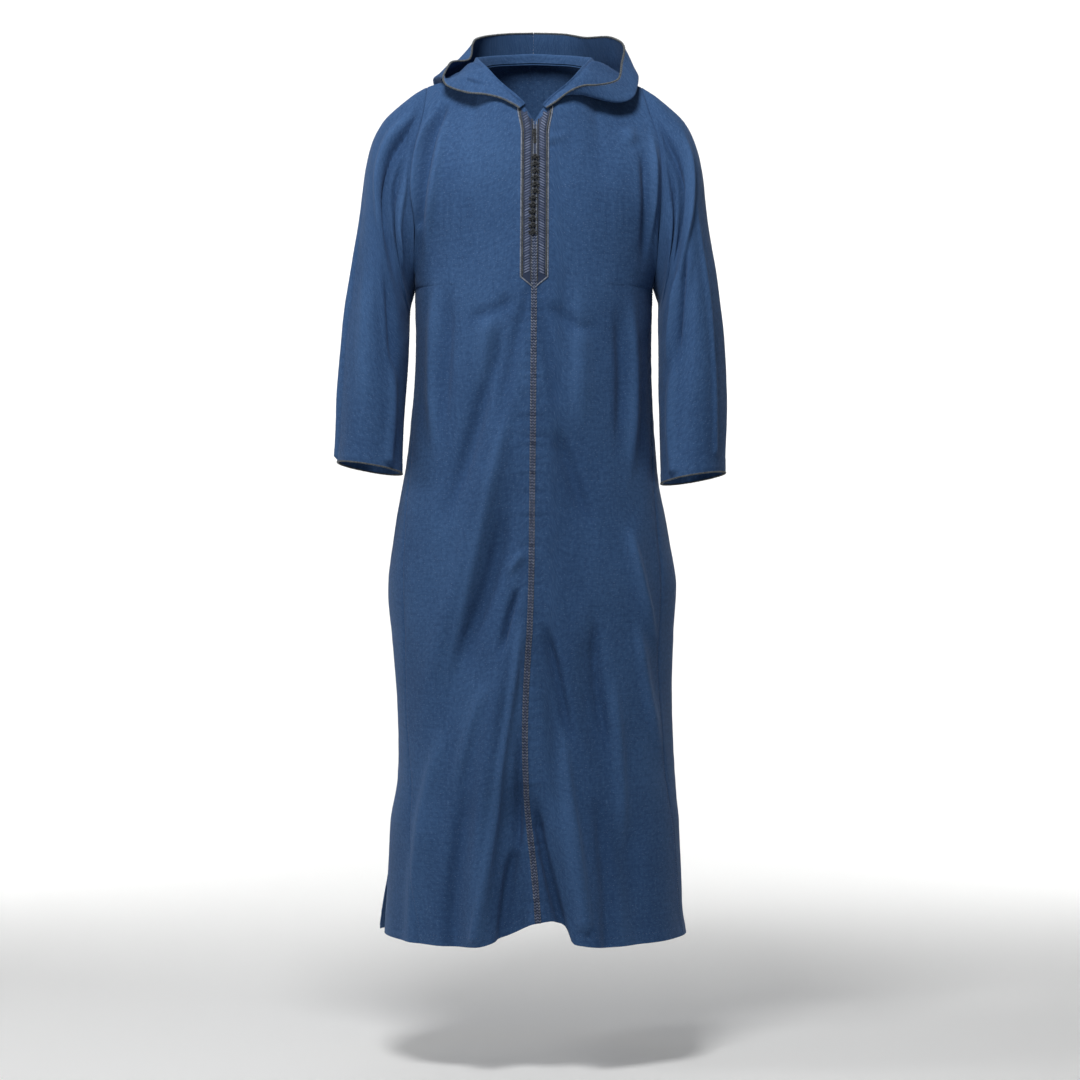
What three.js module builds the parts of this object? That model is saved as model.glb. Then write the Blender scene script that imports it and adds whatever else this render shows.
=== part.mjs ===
// Djellaba: a long, hooded robe in blue wool-blend cloth, as it hangs when it is worn.
//
// Frame: millimetres, +Z up, the robe faces -Y, and +X is the wearer's left. The origin is level
// with the tops of the shoulders, midway between them, where the wearer holds the robe up.
//
// Every panel is a wall of cloth through a surface that is worked out from the tables below.
// The body is a set of level rings up to the underarm. Above it, each front and back column
// rises and rolls over the shoulder to the shoulder line or to the neckline.

import * as THREE from 'three';
import { mergeVertices } from 'three/addons/utils/BufferGeometryUtils.js';

// ---------------------------------------------------------------- driving sizes

const WALL = 2; // thickness of the cloth
const GAP = 0.3; // between two pieces at a seam
const LAP = 7; // between the middles of two layers where the hood rests on the body
const UNDERARM_Z = -312;
const HEM_Z = -1338;
const SHOULDER_Y = 5; // the shoulder line
const SHOULDER_ROLL = 2.4; // 2 is a round shoulder, more is squarer
const ARMHOLE_FRONT = 82; // from the shoulder line forward
const ARMHOLE_BACK = 86; // and backward
const NECK_SIDE = 0.44; // share of a half panel's girth where the neckline meets the shoulder
const ARMHOLE_TURN = 62; // degrees that a half panel turns from the centre to the armhole
const VENT_TOP_Z = -1189;
const VENT_OPEN = 4; // degrees of the ring that the side vent opens at the hem
const VENT_FLARE = { right: 14, left: 5 }; // how far the back stands out at its hem corners
const BRAID_WIDTH = 9;
const BRAID_THICK = 1.6;
const PLACKET_POINT_Z = -321;
const PLACKET_INNER = 7.6;
const PLACKET_THICK = 1;
const STRIP_HALF = 6.8;
const BUTTONS = 12;
const BUTTON_TOP_Z = -116;
const BUTTON_LOW_Z = -234;
const BUTTON_RADIUS = 4.3;
const CORD_RADIUS = 1.3;
const CORD_GAP = 2; // between a raw edge and the middle of its cord's near side

// How far the half girths and depths of the body reach at each height.
// Above the underarm, right and left are where the armhole seam runs.
const BODY = [
  { z: -1345, right: 236, left: 245, front: 186, back: 184 },
  { z: -1288, right: 233, left: 239, front: 182, back: 180 },
  { z: -1168, right: 229, left: 234, front: 176, back: 172 },
  { z: -1088, right: 215, left: 226, front: 172, back: 166 },
  { z: -968, right: 216, left: 222, front: 166, back: 156 },
  { z: -868, right: 224, left: 223, front: 162, back: 150 },
  { z: -780, right: 231, left: 227, front: 158, back: 146 },
  { z: -690, right: 220, left: 212, front: 156, back: 138 },
  { z: -600, right: 203, left: 197, front: 154, back: 126 },
  { z: -500, right: 193, left: 191, front: 152, back: 118 },
  { z: -400, right: 187, left: 189, front: 148, back: 119 },
  { z: -312, right: 188, left: 191, front: 143, back: 127 },
  { z: -234, right: 186, left: 197, front: 138, back: 132 },
  { z: -161, right: 190, left: 202, front: 134, back: 134 },
  { z: -92, right: 186, left: 200, front: 130, back: 132 },
  { z: -29, right: 174, left: 184, front: 128, back: 128 },
  { z: 17, right: 170, left: 173, front: 126, back: 124 },
  { z: 70, right: 169, left: 170, front: 124, back: 120 },
];

// The shoulder line, from the side of the neck to the top of the armhole.
const SHOULDER = [
  { u: NECK_SIDE, z: 42 },
  { u: 0.6, z: 28 },
  { u: 0.8, z: 20 },
  { u: 1, z: 12 },
];

// The neckline on the fronts, from the bottom of its V, and on the back, from the centre.
const NECK_FRONT = [
  { u: 0, y: -105, z: -59 },
  { u: 0.057, y: -103, z: -39 },
  { u: 0.095, y: -101, z: -30 },
  { u: 0.167, y: -95, z: -17 },
  { u: 0.24, y: -86, z: -5 },
  { u: 0.314, y: -71, z: 7 },
  { u: 0.381, y: -42, z: 22 },
  { u: NECK_SIDE, y: 5, z: 42 },
];
const NECK_BACK = [
  { u: 0, y: 78, z: 62 },
  { u: 0.15, y: 72, z: 60 },
  { u: 0.3, y: 46, z: 54 },
  { u: NECK_SIDE, y: 5, z: 42 },
];

// How far the centre-front seam wanders sideways as the cloth hangs.
const CENTRE_FRONT = [
  { z: -1338, x: 10 },
  { z: -1230, x: 1 },
  { z: -1130, x: -10 },
  { z: -1030, x: -14 },
  { z: -930, x: -12 },
  { z: -800, x: -5 },
  { z: -650, x: -3 },
  { z: -321, x: 0 },
  { z: 0, x: 2 },
];

// The hem rises towards the centre front.
const HEM_RISE = [
  { x: -250, rise: 0 },
  { x: -92, rise: 0 },
  { x: -40, rise: 20 },
  { x: 0, rise: 36 },
  { x: 38, rise: 34 },
  { x: 58, rise: 3 },
  { x: 250, rise: 0 },
];

// Seams between front and gore and between gore and back, in degrees round from the centre front.
const GORE_SEAMS = [
  { z: -1338, rightFront: 49, leftFront: 76, back: 99 },
  { z: -1168, rightFront: 56, leftFront: 72, back: 98 },
  { z: -1000, rightFront: 66, leftFront: 65, back: 96 },
  { z: -780, rightFront: 62, leftFront: 63, back: 94 },
  { z: -550, rightFront: 76, leftFront: 76, back: 92 },
  { z: UNDERARM_Z, rightFront: 89, leftFront: 89, back: 91 },
];

// The largest folds. Each runs through three points, high, middle and low, given by height and by
// x seen from the front, on the front or the back. Wide is its half width, rise is how far it
// stands out, or in where it is negative, and hold is how much of that is left at its low end.
const FOLDS = [
  { on: 'front', z0: -470, x0: -34, z1: -740, x1: -97, z2: -1030, x2: -192, wide: 24, rise: 11, hold: 0 },
  { on: 'front', z0: -340, x0: -40, z1: -550, x1: -94, z2: -720, x2: -148, wide: 24, rise: -9, hold: 0 },
  { on: 'front', z0: -600, x0: -36, z1: -820, x1: -86, z2: -1080, x2: -150, wide: 30, rise: -12, hold: 0.3 },
  { on: 'front', z0: -800, x0: -14, z1: -1060, x1: -57, z2: -1345, x2: -92, wide: 20, rise: 14, hold: 1 },
  { on: 'front', z0: -1060, x0: -20, z1: -1200, x1: -32, z2: -1345, x2: -40, wide: 34, rise: -22, hold: 1 },
  { on: 'front', z0: -500, x0: 26, z1: -613, x1: 60, z2: -760, x2: 106, wide: 24, rise: -9, hold: 0 },
  { on: 'front', z0: -800, x0: 8, z1: -930, x1: 39, z2: -1120, x2: 74, wide: 20, rise: -11, hold: 0.2 },
  { on: 'front', z0: -800, x0: 98, z1: -930, x1: 99, z2: -1130, x2: 140, wide: 20, rise: -11, hold: 0.2 },
  { on: 'front', z0: -1080, x0: 8, z1: -1200, x1: 26, z2: -1345, x2: 38, wide: 20, rise: -18, hold: 1 },
  { on: 'front', z0: -1100, x0: 45, z1: -1230, x1: 66, z2: -1345, x2: 86, wide: 24, rise: 10, hold: 1 },
  { on: 'front', z0: -660, x0: 154, z1: -770, x1: 168, z2: -900, x2: 196, wide: 16, rise: 9, hold: 0 },
  { on: 'front', z0: -820, x0: 160, z1: -940, x1: 182, z2: -1080, x2: 204, wide: 14, rise: 8, hold: 0 },
  { on: 'front', z0: -1120, x0: -160, z1: -1240, x1: -156, z2: -1345, x2: -150, wide: 22, rise: 9, hold: 1 },
  { on: 'front', z0: -1120, x0: 150, z1: -1240, x1: 158, z2: -1345, x2: 164, wide: 22, rise: -9, hold: 1 },
  { on: 'back', z0: -360, x0: 64, z1: -760, x1: 92, z2: -1345, x2: 124, wide: 28, rise: 13, hold: 1 },
  { on: 'back', z0: -420, x0: -50, z1: -820, x1: -84, z2: -1345, x2: -112, wide: 30, rise: 14, hold: 1 },
  { on: 'back', z0: -520, x0: 10, z1: -880, x1: 4, z2: -1345, x2: 16, wide: 36, rise: -14, hold: 1 },
  { on: 'back', z0: -620, x0: 128, z1: -900, x1: 158, z2: -1345, x2: 178, wide: 24, rise: -12, hold: 1 },
  { on: 'back', z0: -700, x0: -140, z1: -980, x1: -166, z2: -1345, x2: -176, wide: 24, rise: -12, hold: 1 },
];

// The sleeves: outer and inner line of each ring, its middle in y, and its half depth.
const SLEEVE_RIGHT = [
  { t: 0.08, outX: 206, outZ: -9, inX: 192, inZ: -324, midY: 4, depth: 83 },
  { t: 0.2, outX: 244, outZ: -52, inX: 195, inZ: -334, midY: 0, depth: 85 },
  { t: 0.34, outX: 264, outZ: -110, inX: 197, inZ: -350, midY: -4, depth: 86 },
  { t: 0.5, outX: 276, outZ: -208, inX: 198, inZ: -385, midY: -12, depth: 84 },
  { t: 0.68, outX: 293, outZ: -345, inX: 200, inZ: -446, midY: -24, depth: 80 },
  { t: 0.84, outX: 303, outZ: -470, inX: 205, inZ: -522, midY: -38, depth: 77 },
  { t: 1, outX: 309, outZ: -589, inX: 208, inZ: -606, midY: -50, depth: 74 },
];
const SLEEVE_LEFT = [
  { t: 0.08, outX: 210, outZ: -12, inX: 197, inZ: -324, midY: 4, depth: 83 },
  { t: 0.2, outX: 246, outZ: -54, inX: 200, inZ: -334, midY: -2, depth: 85 },
  { t: 0.34, outX: 266, outZ: -112, inX: 200, inZ: -350, midY: -8, depth: 86 },
  { t: 0.5, outX: 278, outZ: -210, inX: 200, inZ: -388, midY: -18, depth: 84 },
  { t: 0.68, outX: 296, outZ: -350, inX: 200, inZ: -452, midY: -32, depth: 80 },
  { t: 0.84, outX: 303, outZ: -480, inX: 201, inZ: -530, midY: -46, depth: 77 },
  { t: 1, outX: 302, outZ: -606, inX: 203, inZ: -622, midY: -58, depth: 74 },
];
const SLEEVE_BELLY = 12; // how far the sleeve's front and back swell out beside the armhole
const CUFF_BACK_DROP = 10; // how much lower the back of a cuff hangs than its front

// Sleeve folds, each along a line in t and in degrees round the sleeve:
// 0 is the outer line, 90 the front, 180 the inner line and 270 the back.
const SLEEVE_FOLDS = [
  { t0: 0.06, a0: 70, t1: 0.5, a1: 128, wide: 13, rise: -8 },
  { t0: 0.08, a0: 100, t1: 0.36, a1: 160, wide: 13, rise: 7 },
  { t0: 0.5, a0: 80, t1: 0.8, a1: 120, wide: 12, rise: -5 },
  { t0: 0.52, a0: 20, t1: 0.97, a1: 8, wide: 11, rise: 4 },
  { t0: 0.08, a0: 285, t1: 0.5, a1: 232, wide: 15, rise: -7 },
  { t0: 0.5, a0: 270, t1: 0.85, a1: 235, wide: 14, rise: -5 },
];

// The hood, worn down. Each station w runs from the neck seam out over the shoulder or down the back
// and up again to the rim. w is 0 at the bottom of the V and 1 at the centre back. x is without sign.
const HOOD_RIGHT = [
  { w: 0.08, inner: [15, -107, -33], low: [16, -109, -34], outer: [18, -110, -36], rim: [20, -110, -38] },
  { w: 0.14, inner: [27, -105, -22], low: [29, -108, -23], outer: [32, -109, -26], rim: [34, -109, -29] },
  { w: 0.22, inner: [41, -99, -10], low: [45, -103, -13], outer: [48, -105, -17], rim: [52, -106, -20] },
  { w: 0.3, inner: [56, -91, 1], low: [63, -94, -4], outer: [70, -96, -9], rim: [77, -96, -13] },
  { w: 0.38, inner: [72, -80, 12], low: [83, -82, 5], outer: [93, -82, -2], rim: [103, -80, -8] },
  { w: 0.46, inner: [88, -62, 27], low: [105, -62, 20], outer: [120, -58, 12], rim: [134, -50, 7] },
  { w: 0.5, inner: [98, -36, 38], low: [115, -40, 27], outer: [131, -40, 17], rim: [142, -36, 20] },
  { w: 0.525, inner: [102, -17, 38], low: [125, -18, 26], outer: [144, -18, 24], rim: [139, -20, 36] },
  { w: 0.55, inner: [106, 4, 37], low: [134, 6, 26], outer: [152, 4, 30], rim: [131, 0, 52] },
  { w: 0.62, inner: [105, 34, 34], low: [140, 40, 22], outer: [160, 36, 32], rim: [104, 34, 62] },
  { w: 0.7, inner: [98, 84, 8], low: [126, 98, -14], outer: [152, 82, 24], rim: [98, 54, 91] },
];
const HOOD_LEFT = [
  { w: 0.08, inner: [15, -107, -33], low: [16, -109, -34], outer: [18, -110, -36], rim: [20, -110, -38] },
  { w: 0.14, inner: [27, -105, -22], low: [30, -108, -24], outer: [33, -110, -26], rim: [36, -112, -27] },
  { w: 0.22, inner: [41, -99, -9], low: [46, -104, -13], outer: [52, -108, -17], rim: [56, -112, -13] },
  { w: 0.3, inner: [57, -92, 1], low: [66, -97, -11], outer: [79, -102, -15], rim: [79, -107, -3] },
  { w: 0.38, inner: [74, -82, 9], low: [90, -88, -14], outer: [106, -88, -18], rim: [102, -88, 1] },
  { w: 0.46, inner: [90, -62, 24], low: [118, -72, -14], outer: [142, -66, -20], rim: [126, -66, 9] },
  { w: 0.5, inner: [98, -36, 38], low: [134, -52, 0], outer: [160, -48, -8], rim: [137, -44, 20] },
  { w: 0.55, inner: [114, 4, 44], low: [150, 6, 28], outer: [168, -2, 28], rim: [142, -8, 48] },
  { w: 0.62, inner: [108, 36, 34], low: [142, 42, 20], outer: [163, 32, 38], rim: [146, 26, 82] },
  { w: 0.7, inner: [98, 84, 8], low: [126, 98, -12], outer: [154, 84, 28], rim: [124, 60, 102] },
];
const HOOD_BACK = [
  { w: 0.8, inner: [74, 116, -46], low: [92, 140, -100], outer: [122, 136, -6], rim: [86, 90, 107] },
  { w: 0.9, inner: [42, 134, -118], low: [52, 154, -212], outer: [74, 170, -80], rim: [48, 116, 117] },
  { w: 1, inner: [0, 138, -150], low: [0, 160, -290], outer: [0, 186, -110], rim: [0, 130, 121] },
];
// How high the hood stands up from the neck seam before it turns over.
const HOOD_STAND = [
  { w: 0, rise: 3 },
  { w: 0.15, rise: 5 },
  { w: 0.3, rise: 8 },
  { w: 0.45, rise: 17 },
  { w: 0.6, rise: 15 },
  { w: 1, rise: 12 },
];
const HOOD_START = 0.08;
const FRONT_SHARE = 0.55; // the part of w that runs along the fronts' necklines

// ---------------------------------------------------------------- small maths

const RIGHT = -1; // the wearer's right is at -X
const LEFT = 1;
const radians = (degrees) => (degrees * Math.PI) / 180;
const degreesOf = (value) => (value * 180) / Math.PI;
const lerp = (a, b, t) => a + (b - a) * t;
const clamp = (value, low, high) => Math.min(high, Math.max(low, value));

function smooth(low, high, value) {
  const t = clamp((value - low) / (high - low), 0, 1);
  return t * t * (3 - 2 * t);
}

// A smooth curve through a table's rows, read at one place of its key column.
function sample(table, key, column, at) {
  const last = table.length - 1;
  const place = clamp(at, table[0][key], table[last][key]);
  let i = 0;
  while (i < last - 1 && table[i + 1][key] < place) i += 1;
  const x = [i - 1, i, i + 1, i + 2].map((n) => table[clamp(n, 0, last)][key]);
  const y = [i - 1, i, i + 1, i + 2].map((n) => table[clamp(n, 0, last)][column]);
  const span = x[2] - x[1];
  const startSlope = (y[2] - y[0]) / (x[2] - x[0]);
  const endSlope = (y[3] - y[1]) / (x[3] - x[1]);
  const t = (place - x[1]) / span;
  const t2 = t * t;
  const t3 = t2 * t;
  return (2 * t3 - 3 * t2 + 1) * y[1] + (t3 - 2 * t2 + t) * span * startSlope
    + (3 * t2 - 2 * t3) * y[2] + (t3 - t2) * span * endSlope;
}

// A smooth curve through points that are evenly spaced in t.
function spline(points, t) {
  const last = points.length - 1;
  const place = clamp(t, 0, 1) * last;
  const i = Math.min(Math.floor(place), last - 1);
  const [a, b, c, d] = [i - 1, i, i + 1, i + 2].map((n) => points[clamp(n, 0, last)]);
  const f = place - i;
  const out = b.clone().multiplyScalar(2);
  out.addScaledVector(c.clone().sub(a), f);
  out.addScaledVector(a.clone().multiplyScalar(2).addScaledVector(b, -5).addScaledVector(c, 4).sub(d), f * f);
  out.addScaledVector(b.clone().multiplyScalar(3).sub(a).addScaledVector(c, -3).add(d), f * f * f);
  return out.multiplyScalar(0.5);
}

// ---------------------------------------------------------------- the body's surface

const sideName = (side) => (side === RIGHT ? 'right' : 'left');

function foldHeight(half, x, z) {
  let height = 0;
  for (const fold of FOLDS) {
    if (fold.on !== half || z > fold.z0) continue;
    const t = clamp((fold.z0 - z) / (fold.z0 - fold.z2), 0, 1);
    const middle = (fold.z0 - fold.z1) / (fold.z0 - fold.z2);
    const bend = (fold.x1 - lerp(fold.x0, fold.x2, middle)) / (middle * (1 - middle));
    const place = lerp(fold.x0, fold.x2, t) + bend * t * (1 - t);
    const fade = lerp(1, fold.hold, smooth(0.6, 1, t));
    const across = (x - place) / fold.wide;
    height += fold.rise * smooth(0, 0.3, t) * fade * Math.exp(-across * across);
  }
  return height;
}

// How far round a half panel turns at a height: to the side at the underarm, and less above it.
const panelTurn = (z) => lerp(90, ARMHOLE_TURN, smooth(UNDERARM_Z, UNDERARM_Z + 170, z));

// How far the armhole seam stands from the shoulder line: exactly, and as it bends the whole panel.
function armholeDepth(half, z) {
  const reach = half === 'front' ? -ARMHOLE_FRONT : ARMHOLE_BACK;
  const t = clamp((z - UNDERARM_Z) / (SHOULDER[SHOULDER.length - 1].z - UNDERARM_Z), 0, 1);
  return { edge: reach * Math.sqrt(4 * t * (1 - t)), panel: reach * Math.sin(Math.PI * t) ** 2 };
}

// Where a front or back column ends: on the neckline or on the shoulder line.
function columnTop(half, u) {
  if (u >= NECK_SIDE) return { y: SHOULDER_Y, z: sample(SHOULDER, 'u', 'z', u) };
  const neck = half === 'front' ? NECK_FRONT : NECK_BACK;
  return { y: sample(neck, 'u', 'y', u), z: sample(neck, 'u', 'z', u) };
}

// A point of the body above the underarm. u is 0 at the centre and 1 at the armhole, v is the rise.
function upperPoint(side, half, u, v) {
  const top = columnTop(half, u);
  const z = lerp(UNDERARM_Z, top.z, v);
  const girth = sample(BODY, 'z', sideName(side), z);
  const turn = panelTurn(z);
  const sign = half === 'front' ? -1 : 1;
  const armhole = armholeDepth(half, z);
  const side0 = SHOULDER_Y * v + armhole.panel;
  const depth = sign * sample(BODY, 'z', half, z);
  const bow = (Math.cos(radians(turn * u)) - Math.cos(radians(turn))) / (1 - Math.cos(radians(turn)));
  const flat = side0 + (depth - side0) * bow + (armhole.edge - armhole.panel) * u ** 6;
  const roll = (1 - v ** SHOULDER_ROLL) ** (1 / SHOULDER_ROLL);
  const rolled = top.y + (flat - top.y) * roll + sign * (GAP / 2 + 0.05) * v ** 8;
  return new THREE.Vector3(side * girth * Math.sin(radians(turn * u)) / Math.sin(radians(turn)), rolled, z);
}

// A point of the body below the underarm. angle is 0 at the centre front and 180 at the centre back.
function ringPoint(side, angle, drop) {
  const sin = Math.sin(radians(angle));
  const cos = Math.cos(radians(angle));
  const half = cos > 0 ? 'front' : 'back';
  const roughX = side * sample(BODY, 'z', sideName(side), HEM_Z) * sin;
  const rise = cos > 0 ? sample(HEM_RISE, 'x', 'rise', roughX) : 0;
  const z = lerp(UNDERARM_Z, HEM_Z + rise, drop);
  const girth = sample(BODY, 'z', sideName(side), z);
  const depth = sample(BODY, 'z', half, z);
  const point = new THREE.Vector3(side * girth * sin, -depth * cos, z);
  const outward = new THREE.Vector2(side * depth * sin, -girth * cos).normalize();
  const height = foldHeight(half, point.x, z) * Math.abs(cos) ** 0.4;
  point.x += outward.x * height;
  point.y += outward.y * height;
  return point;
}

// The whole body: level runs from -1 at the hem through 0 at the underarm to 1 at the top.
function bodyPoint(side, angle, level) {
  let point;
  if (level <= 0) point = ringPoint(side, angle, -level);
  else {
    const half = angle <= 90 ? 'front' : 'back';
    const u = half === 'front' ? angle / 90 : (180 - angle) / 90;
    point = upperPoint(side, half, u, (1 - Math.cos(Math.PI * level)) / 2);
  }
  if (angle < 90) point.x += sample(CENTRE_FRONT, 'z', 'x', point.z) * Math.cos(radians(angle)) ** 2;
  return point;
}

// The outward normal of a surface of two parameters, by small steps that stay on the surface.
function normalAt(surface, a, b, range) {
  const step = 1e-4;
  const a0 = Math.max(range.a0, a - step * range.aSpan);
  const a1 = Math.min(range.a1, a + step * range.aSpan);
  const b0 = Math.max(range.b0, b - step * range.bSpan);
  const b1 = Math.min(range.b1, b + step * range.bSpan);
  const along = surface(a1, b).sub(surface(a0, b));
  const up = surface(a, b1).sub(surface(a, b0));
  return along.cross(up).normalize();
}

// The height at which a column of the front or back passes through (x, z), as angle and level.
function placeOnBody(side, half, x, z) {
  const shift = half === 'front' ? sample(CENTRE_FRONT, 'z', 'x', z) : 0;
  const girth = sample(BODY, 'z', sideName(side), z);
  const turn = panelTurn(z);
  const sine = clamp((x - shift) * side / girth, 0, 1) * Math.sin(radians(turn));
  const u = degreesOf(Math.asin(sine)) / turn;
  const angle = half === 'front' ? 90 * u : 180 - 90 * u;
  if (z > UNDERARM_Z) {
    const v = clamp((z - UNDERARM_Z) / (columnTop(half, u).z - UNDERARM_Z), 0, 1);
    return { angle, level: Math.acos(1 - 2 * v) / Math.PI, top: columnTop(half, u).z };
  }
  const roughX = side * sample(BODY, 'z', sideName(side), HEM_Z) * Math.sin(radians(angle));
  const hem = HEM_Z + (half === 'front' ? sample(HEM_RISE, 'x', 'rise', roughX) : 0);
  return { angle, level: -clamp((UNDERARM_Z - z) / (UNDERARM_Z - hem), 0, 1), top: Infinity };
}

const BODY_RANGE = { a0: 0, a1: 180, aSpan: 90, b0: -1, b1: 1, bSpan: 1 };

function bodyNormal(side, angle, level) {
  const range = { ...BODY_RANGE };
  if (level > 0 && angle <= 90) range.a1 = 90;
  if (level > 0 && angle > 90) range.a0 = 90.001;
  return normalAt((a, b) => bodyPoint(side, a, b), angle, level, range).multiplyScalar(side);
}

// A point at (x, z) on the front, moved out from the middle of the cloth.
function onFront(x, z, lift) {
  const shift = sample(CENTRE_FRONT, 'z', 'x', z);
  const side = x - shift < 0 ? RIGHT : LEFT;
  const place = placeOnBody(side, 'front', x, z);
  const point = bodyPoint(side, place.angle, place.level);
  return point.addScaledVector(bodyNormal(side, place.angle, place.level), lift);
}

// ---------------------------------------------------------------- walls

// A closed wall through rows of { point, normal }: half of its thickness on each side.
function wall(rows, thickness, around = false) {
  const columns = rows[0].length;
  const positions = [];
  for (const direction of [1, -1]) {
    for (const row of rows) {
      for (const { point, normal } of row) {
        positions.push(...point.clone().addScaledVector(normal, direction * thickness / 2).toArray());
      }
    }
  }
  const layer = rows.length * columns;
  const indices = [];
  const quad = (a, b, c, d) => indices.push(a, b, c, a, c, d);
  const wide = around ? columns : columns - 1;
  for (let i = 0; i < rows.length - 1; i += 1) {
    for (let j = 0; j < wide; j += 1) {
      const next = (j + 1) % columns;
      const [a, b] = [i * columns + j, i * columns + next];
      const [c, d] = [b + columns, a + columns];
      quad(a, b, c, d);
      quad(a + layer, d + layer, c + layer, b + layer);
    }
  }
  const edge = [];
  for (let j = 0; j < wide; j += 1) {
    const next = (j + 1) % columns;
    const top = (rows.length - 1) * columns;
    edge.push([next, j], [top + j, top + next]);
  }
  if (!around) {
    for (let i = 0; i < rows.length - 1; i += 1) {
      edge.push([i * columns, (i + 1) * columns]);
      edge.push([(i + 2) * columns - 1, (i + 1) * columns - 1]);
    }
  }
  for (const [a, b] of edge) quad(a, b, b + layer, a + layer);
  return solid(positions, indices);
}

// A closed solid from points and triangles, turned so that its faces point out.
function solid(positions, indices) {
  const at = (n) => new THREE.Vector3().fromArray(positions, n * 3);
  let volume = 0;
  for (let n = 0; n < indices.length; n += 3) {
    volume += at(indices[n]).dot(at(indices[n + 1]).cross(at(indices[n + 2])));
  }
  if (volume < 0) indices.reverse();
  const geometry = new THREE.BufferGeometry();
  geometry.setAttribute('position', new THREE.Float32BufferAttribute(positions, 3));
  geometry.setIndex(indices);
  return mergeVertices(geometry, 1e-4);
}

const steps = (count) => Array.from({ length: count + 1 }, (_, n) => n / count);

// A round cord along points, closed at its ends or joined into a ring.
function cord(points, radius, ring = false) {
  const sides = 6;
  const count = points.length;
  const positions = [];
  points.forEach((point, i) => {
    const before = points[ring ? (i + count - 1) % count : Math.max(i - 1, 0)];
    const after = points[ring ? (i + 1) % count : Math.min(i + 1, count - 1)];
    const along = after.clone().sub(before).normalize();
    const across = new THREE.Vector3(0, 0, 1).cross(along);
    if (across.length() < 0.2) across.set(1, 0, 0);
    across.normalize();
    const up = along.clone().cross(across);
    for (let k = 0; k < sides; k += 1) {
      const turn = radians((360 * k) / sides);
      const corner = point.clone().addScaledVector(across, radius * Math.cos(turn));
      positions.push(...corner.addScaledVector(up, radius * Math.sin(turn)).toArray());
    }
  });
  const indices = [];
  for (let i = 0; i < (ring ? count : count - 1); i += 1) {
    for (let k = 0; k < sides; k += 1) {
      const [a, b] = [i * sides + k, i * sides + ((k + 1) % sides)];
      const [c, d] = [a, b].map((n) => (n + sides) % (count * sides));
      indices.push(a, b, d, a, d, c);
    }
  }
  if (!ring) {
    const end = (count - 1) * sides;
    for (let k = 1; k < sides - 1; k += 1) {
      indices.push(0, k + 1, k, end, end + k, end + k + 1);
    }
  }
  return solid(positions, indices);
}

// ---------------------------------------------------------------- panels

const LOWER_ROWS = 18;
const UPPER_ROWS = 12;
const FRONT_COLUMNS = 10;

function levels(from, to) {
  const lower = steps(LOWER_ROWS).map((n) => lerp(from, 0, n));
  return to <= 0 ? lower : [...lower, ...steps(UPPER_ROWS).slice(1).map((n) => n * to)];
}

const seamAngle = (column, z) => sample(GORE_SEAMS, 'z', column, z);
const seamGap = (z, side) => degreesOf(GAP / 2 / sample(BODY, 'z', sideName(side), z));

function bodyCell(side, angle, level) {
  const normal = bodyNormal(side, angle, level);
  const onShoulder = level === 1 && Math.min(angle, 180 - angle) >= 90 * NECK_SIDE;
  if (onShoulder) normal.setY(0).normalize();
  return { point: bodyPoint(side, angle, level), normal };
}

// The height that a level stands at, roughly, for reading the seam tables.
const levelZ = (level) => lerp(UNDERARM_Z, level < 0 ? HEM_Z : 0, Math.abs(level));

function frontPanel(side) {
  const rows = levels(-1, 1).map((level) => {
    const z = levelZ(level);
    const gap = seamGap(z, side);
    const seam = level < 0 ? seamAngle(`${sideName(side)}Front`, z) - gap : 90;
    const cells = steps(FRONT_COLUMNS).map((n) => bodyCell(side, lerp(gap, seam, n), level));
    cells[0].normal.setX(0).normalize();
    return cells;
  });
  return wall(rows, WALL);
}

// How much the vent has opened at a height, in degrees.
const ventAt = (z) => VENT_OPEN * smooth(VENT_TOP_Z, HEM_Z, z);

function gorePanel(side) {
  const rows = levels(-1, 0).slice(0, -1).map((level) => {
    const z = levelZ(level);
    const gap = seamGap(z, side);
    const from = seamAngle(`${sideName(side)}Front`, z) + gap;
    const to = seamAngle('back', z) - gap - ventAt(z);
    return steps(3).map((n) => bodyCell(side, lerp(from, to, n), level));
  });
  return wall(rows, WALL);
}

function backPanel() {
  const rows = levels(-1, 1).map((level) => {
    const z = levelZ(level);
    const half = (side) => {
      const gap = seamGap(z, side);
      const seam = level < 0 ? seamAngle('back', z) + gap + ventAt(z) * 0.4 : 90.01 + gap;
      return steps(8).map((n) => {
        const cell = bodyCell(side, lerp(seam, 180, n), level);
        cell.point.x += side * VENT_FLARE[sideName(side)] * smooth(VENT_TOP_Z, HEM_Z, z) * (1 - n) ** 4;
        return cell;
      });
    };
    return [...half(RIGHT), ...half(LEFT).reverse().slice(1)];
  });
  return wall(rows, WALL);
}

// ---------------------------------------------------------------- sleeves

// The armhole seam, round from the shoulder (0 degrees) by the front, the underarm (180) and the back.
function armholeCell(side, turn) {
  const angle = turn <= 180 ? 90 : 90.001;
  const level = Math.max(Math.abs(180 - turn) / 180, 1e-4);
  const { point, normal } = bodyCell(side, angle, level);
  point.x += side * (GAP + (WALL + GAP) * smooth(-150, -290, point.z));
  return { point, normal };
}

function sleeveFold(turn, t) {
  let height = 0;
  for (const fold of SLEEVE_FOLDS) {
    const along = (t - fold.t0) / (fold.t1 - fold.t0);
    if (along < 0 || along > 1) continue;
    const across = (turn - lerp(fold.a0, fold.a1, along)) / fold.wide;
    height += fold.rise * Math.sin(Math.PI * along) * Math.exp(-across * across);
  }
  return height;
}

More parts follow.
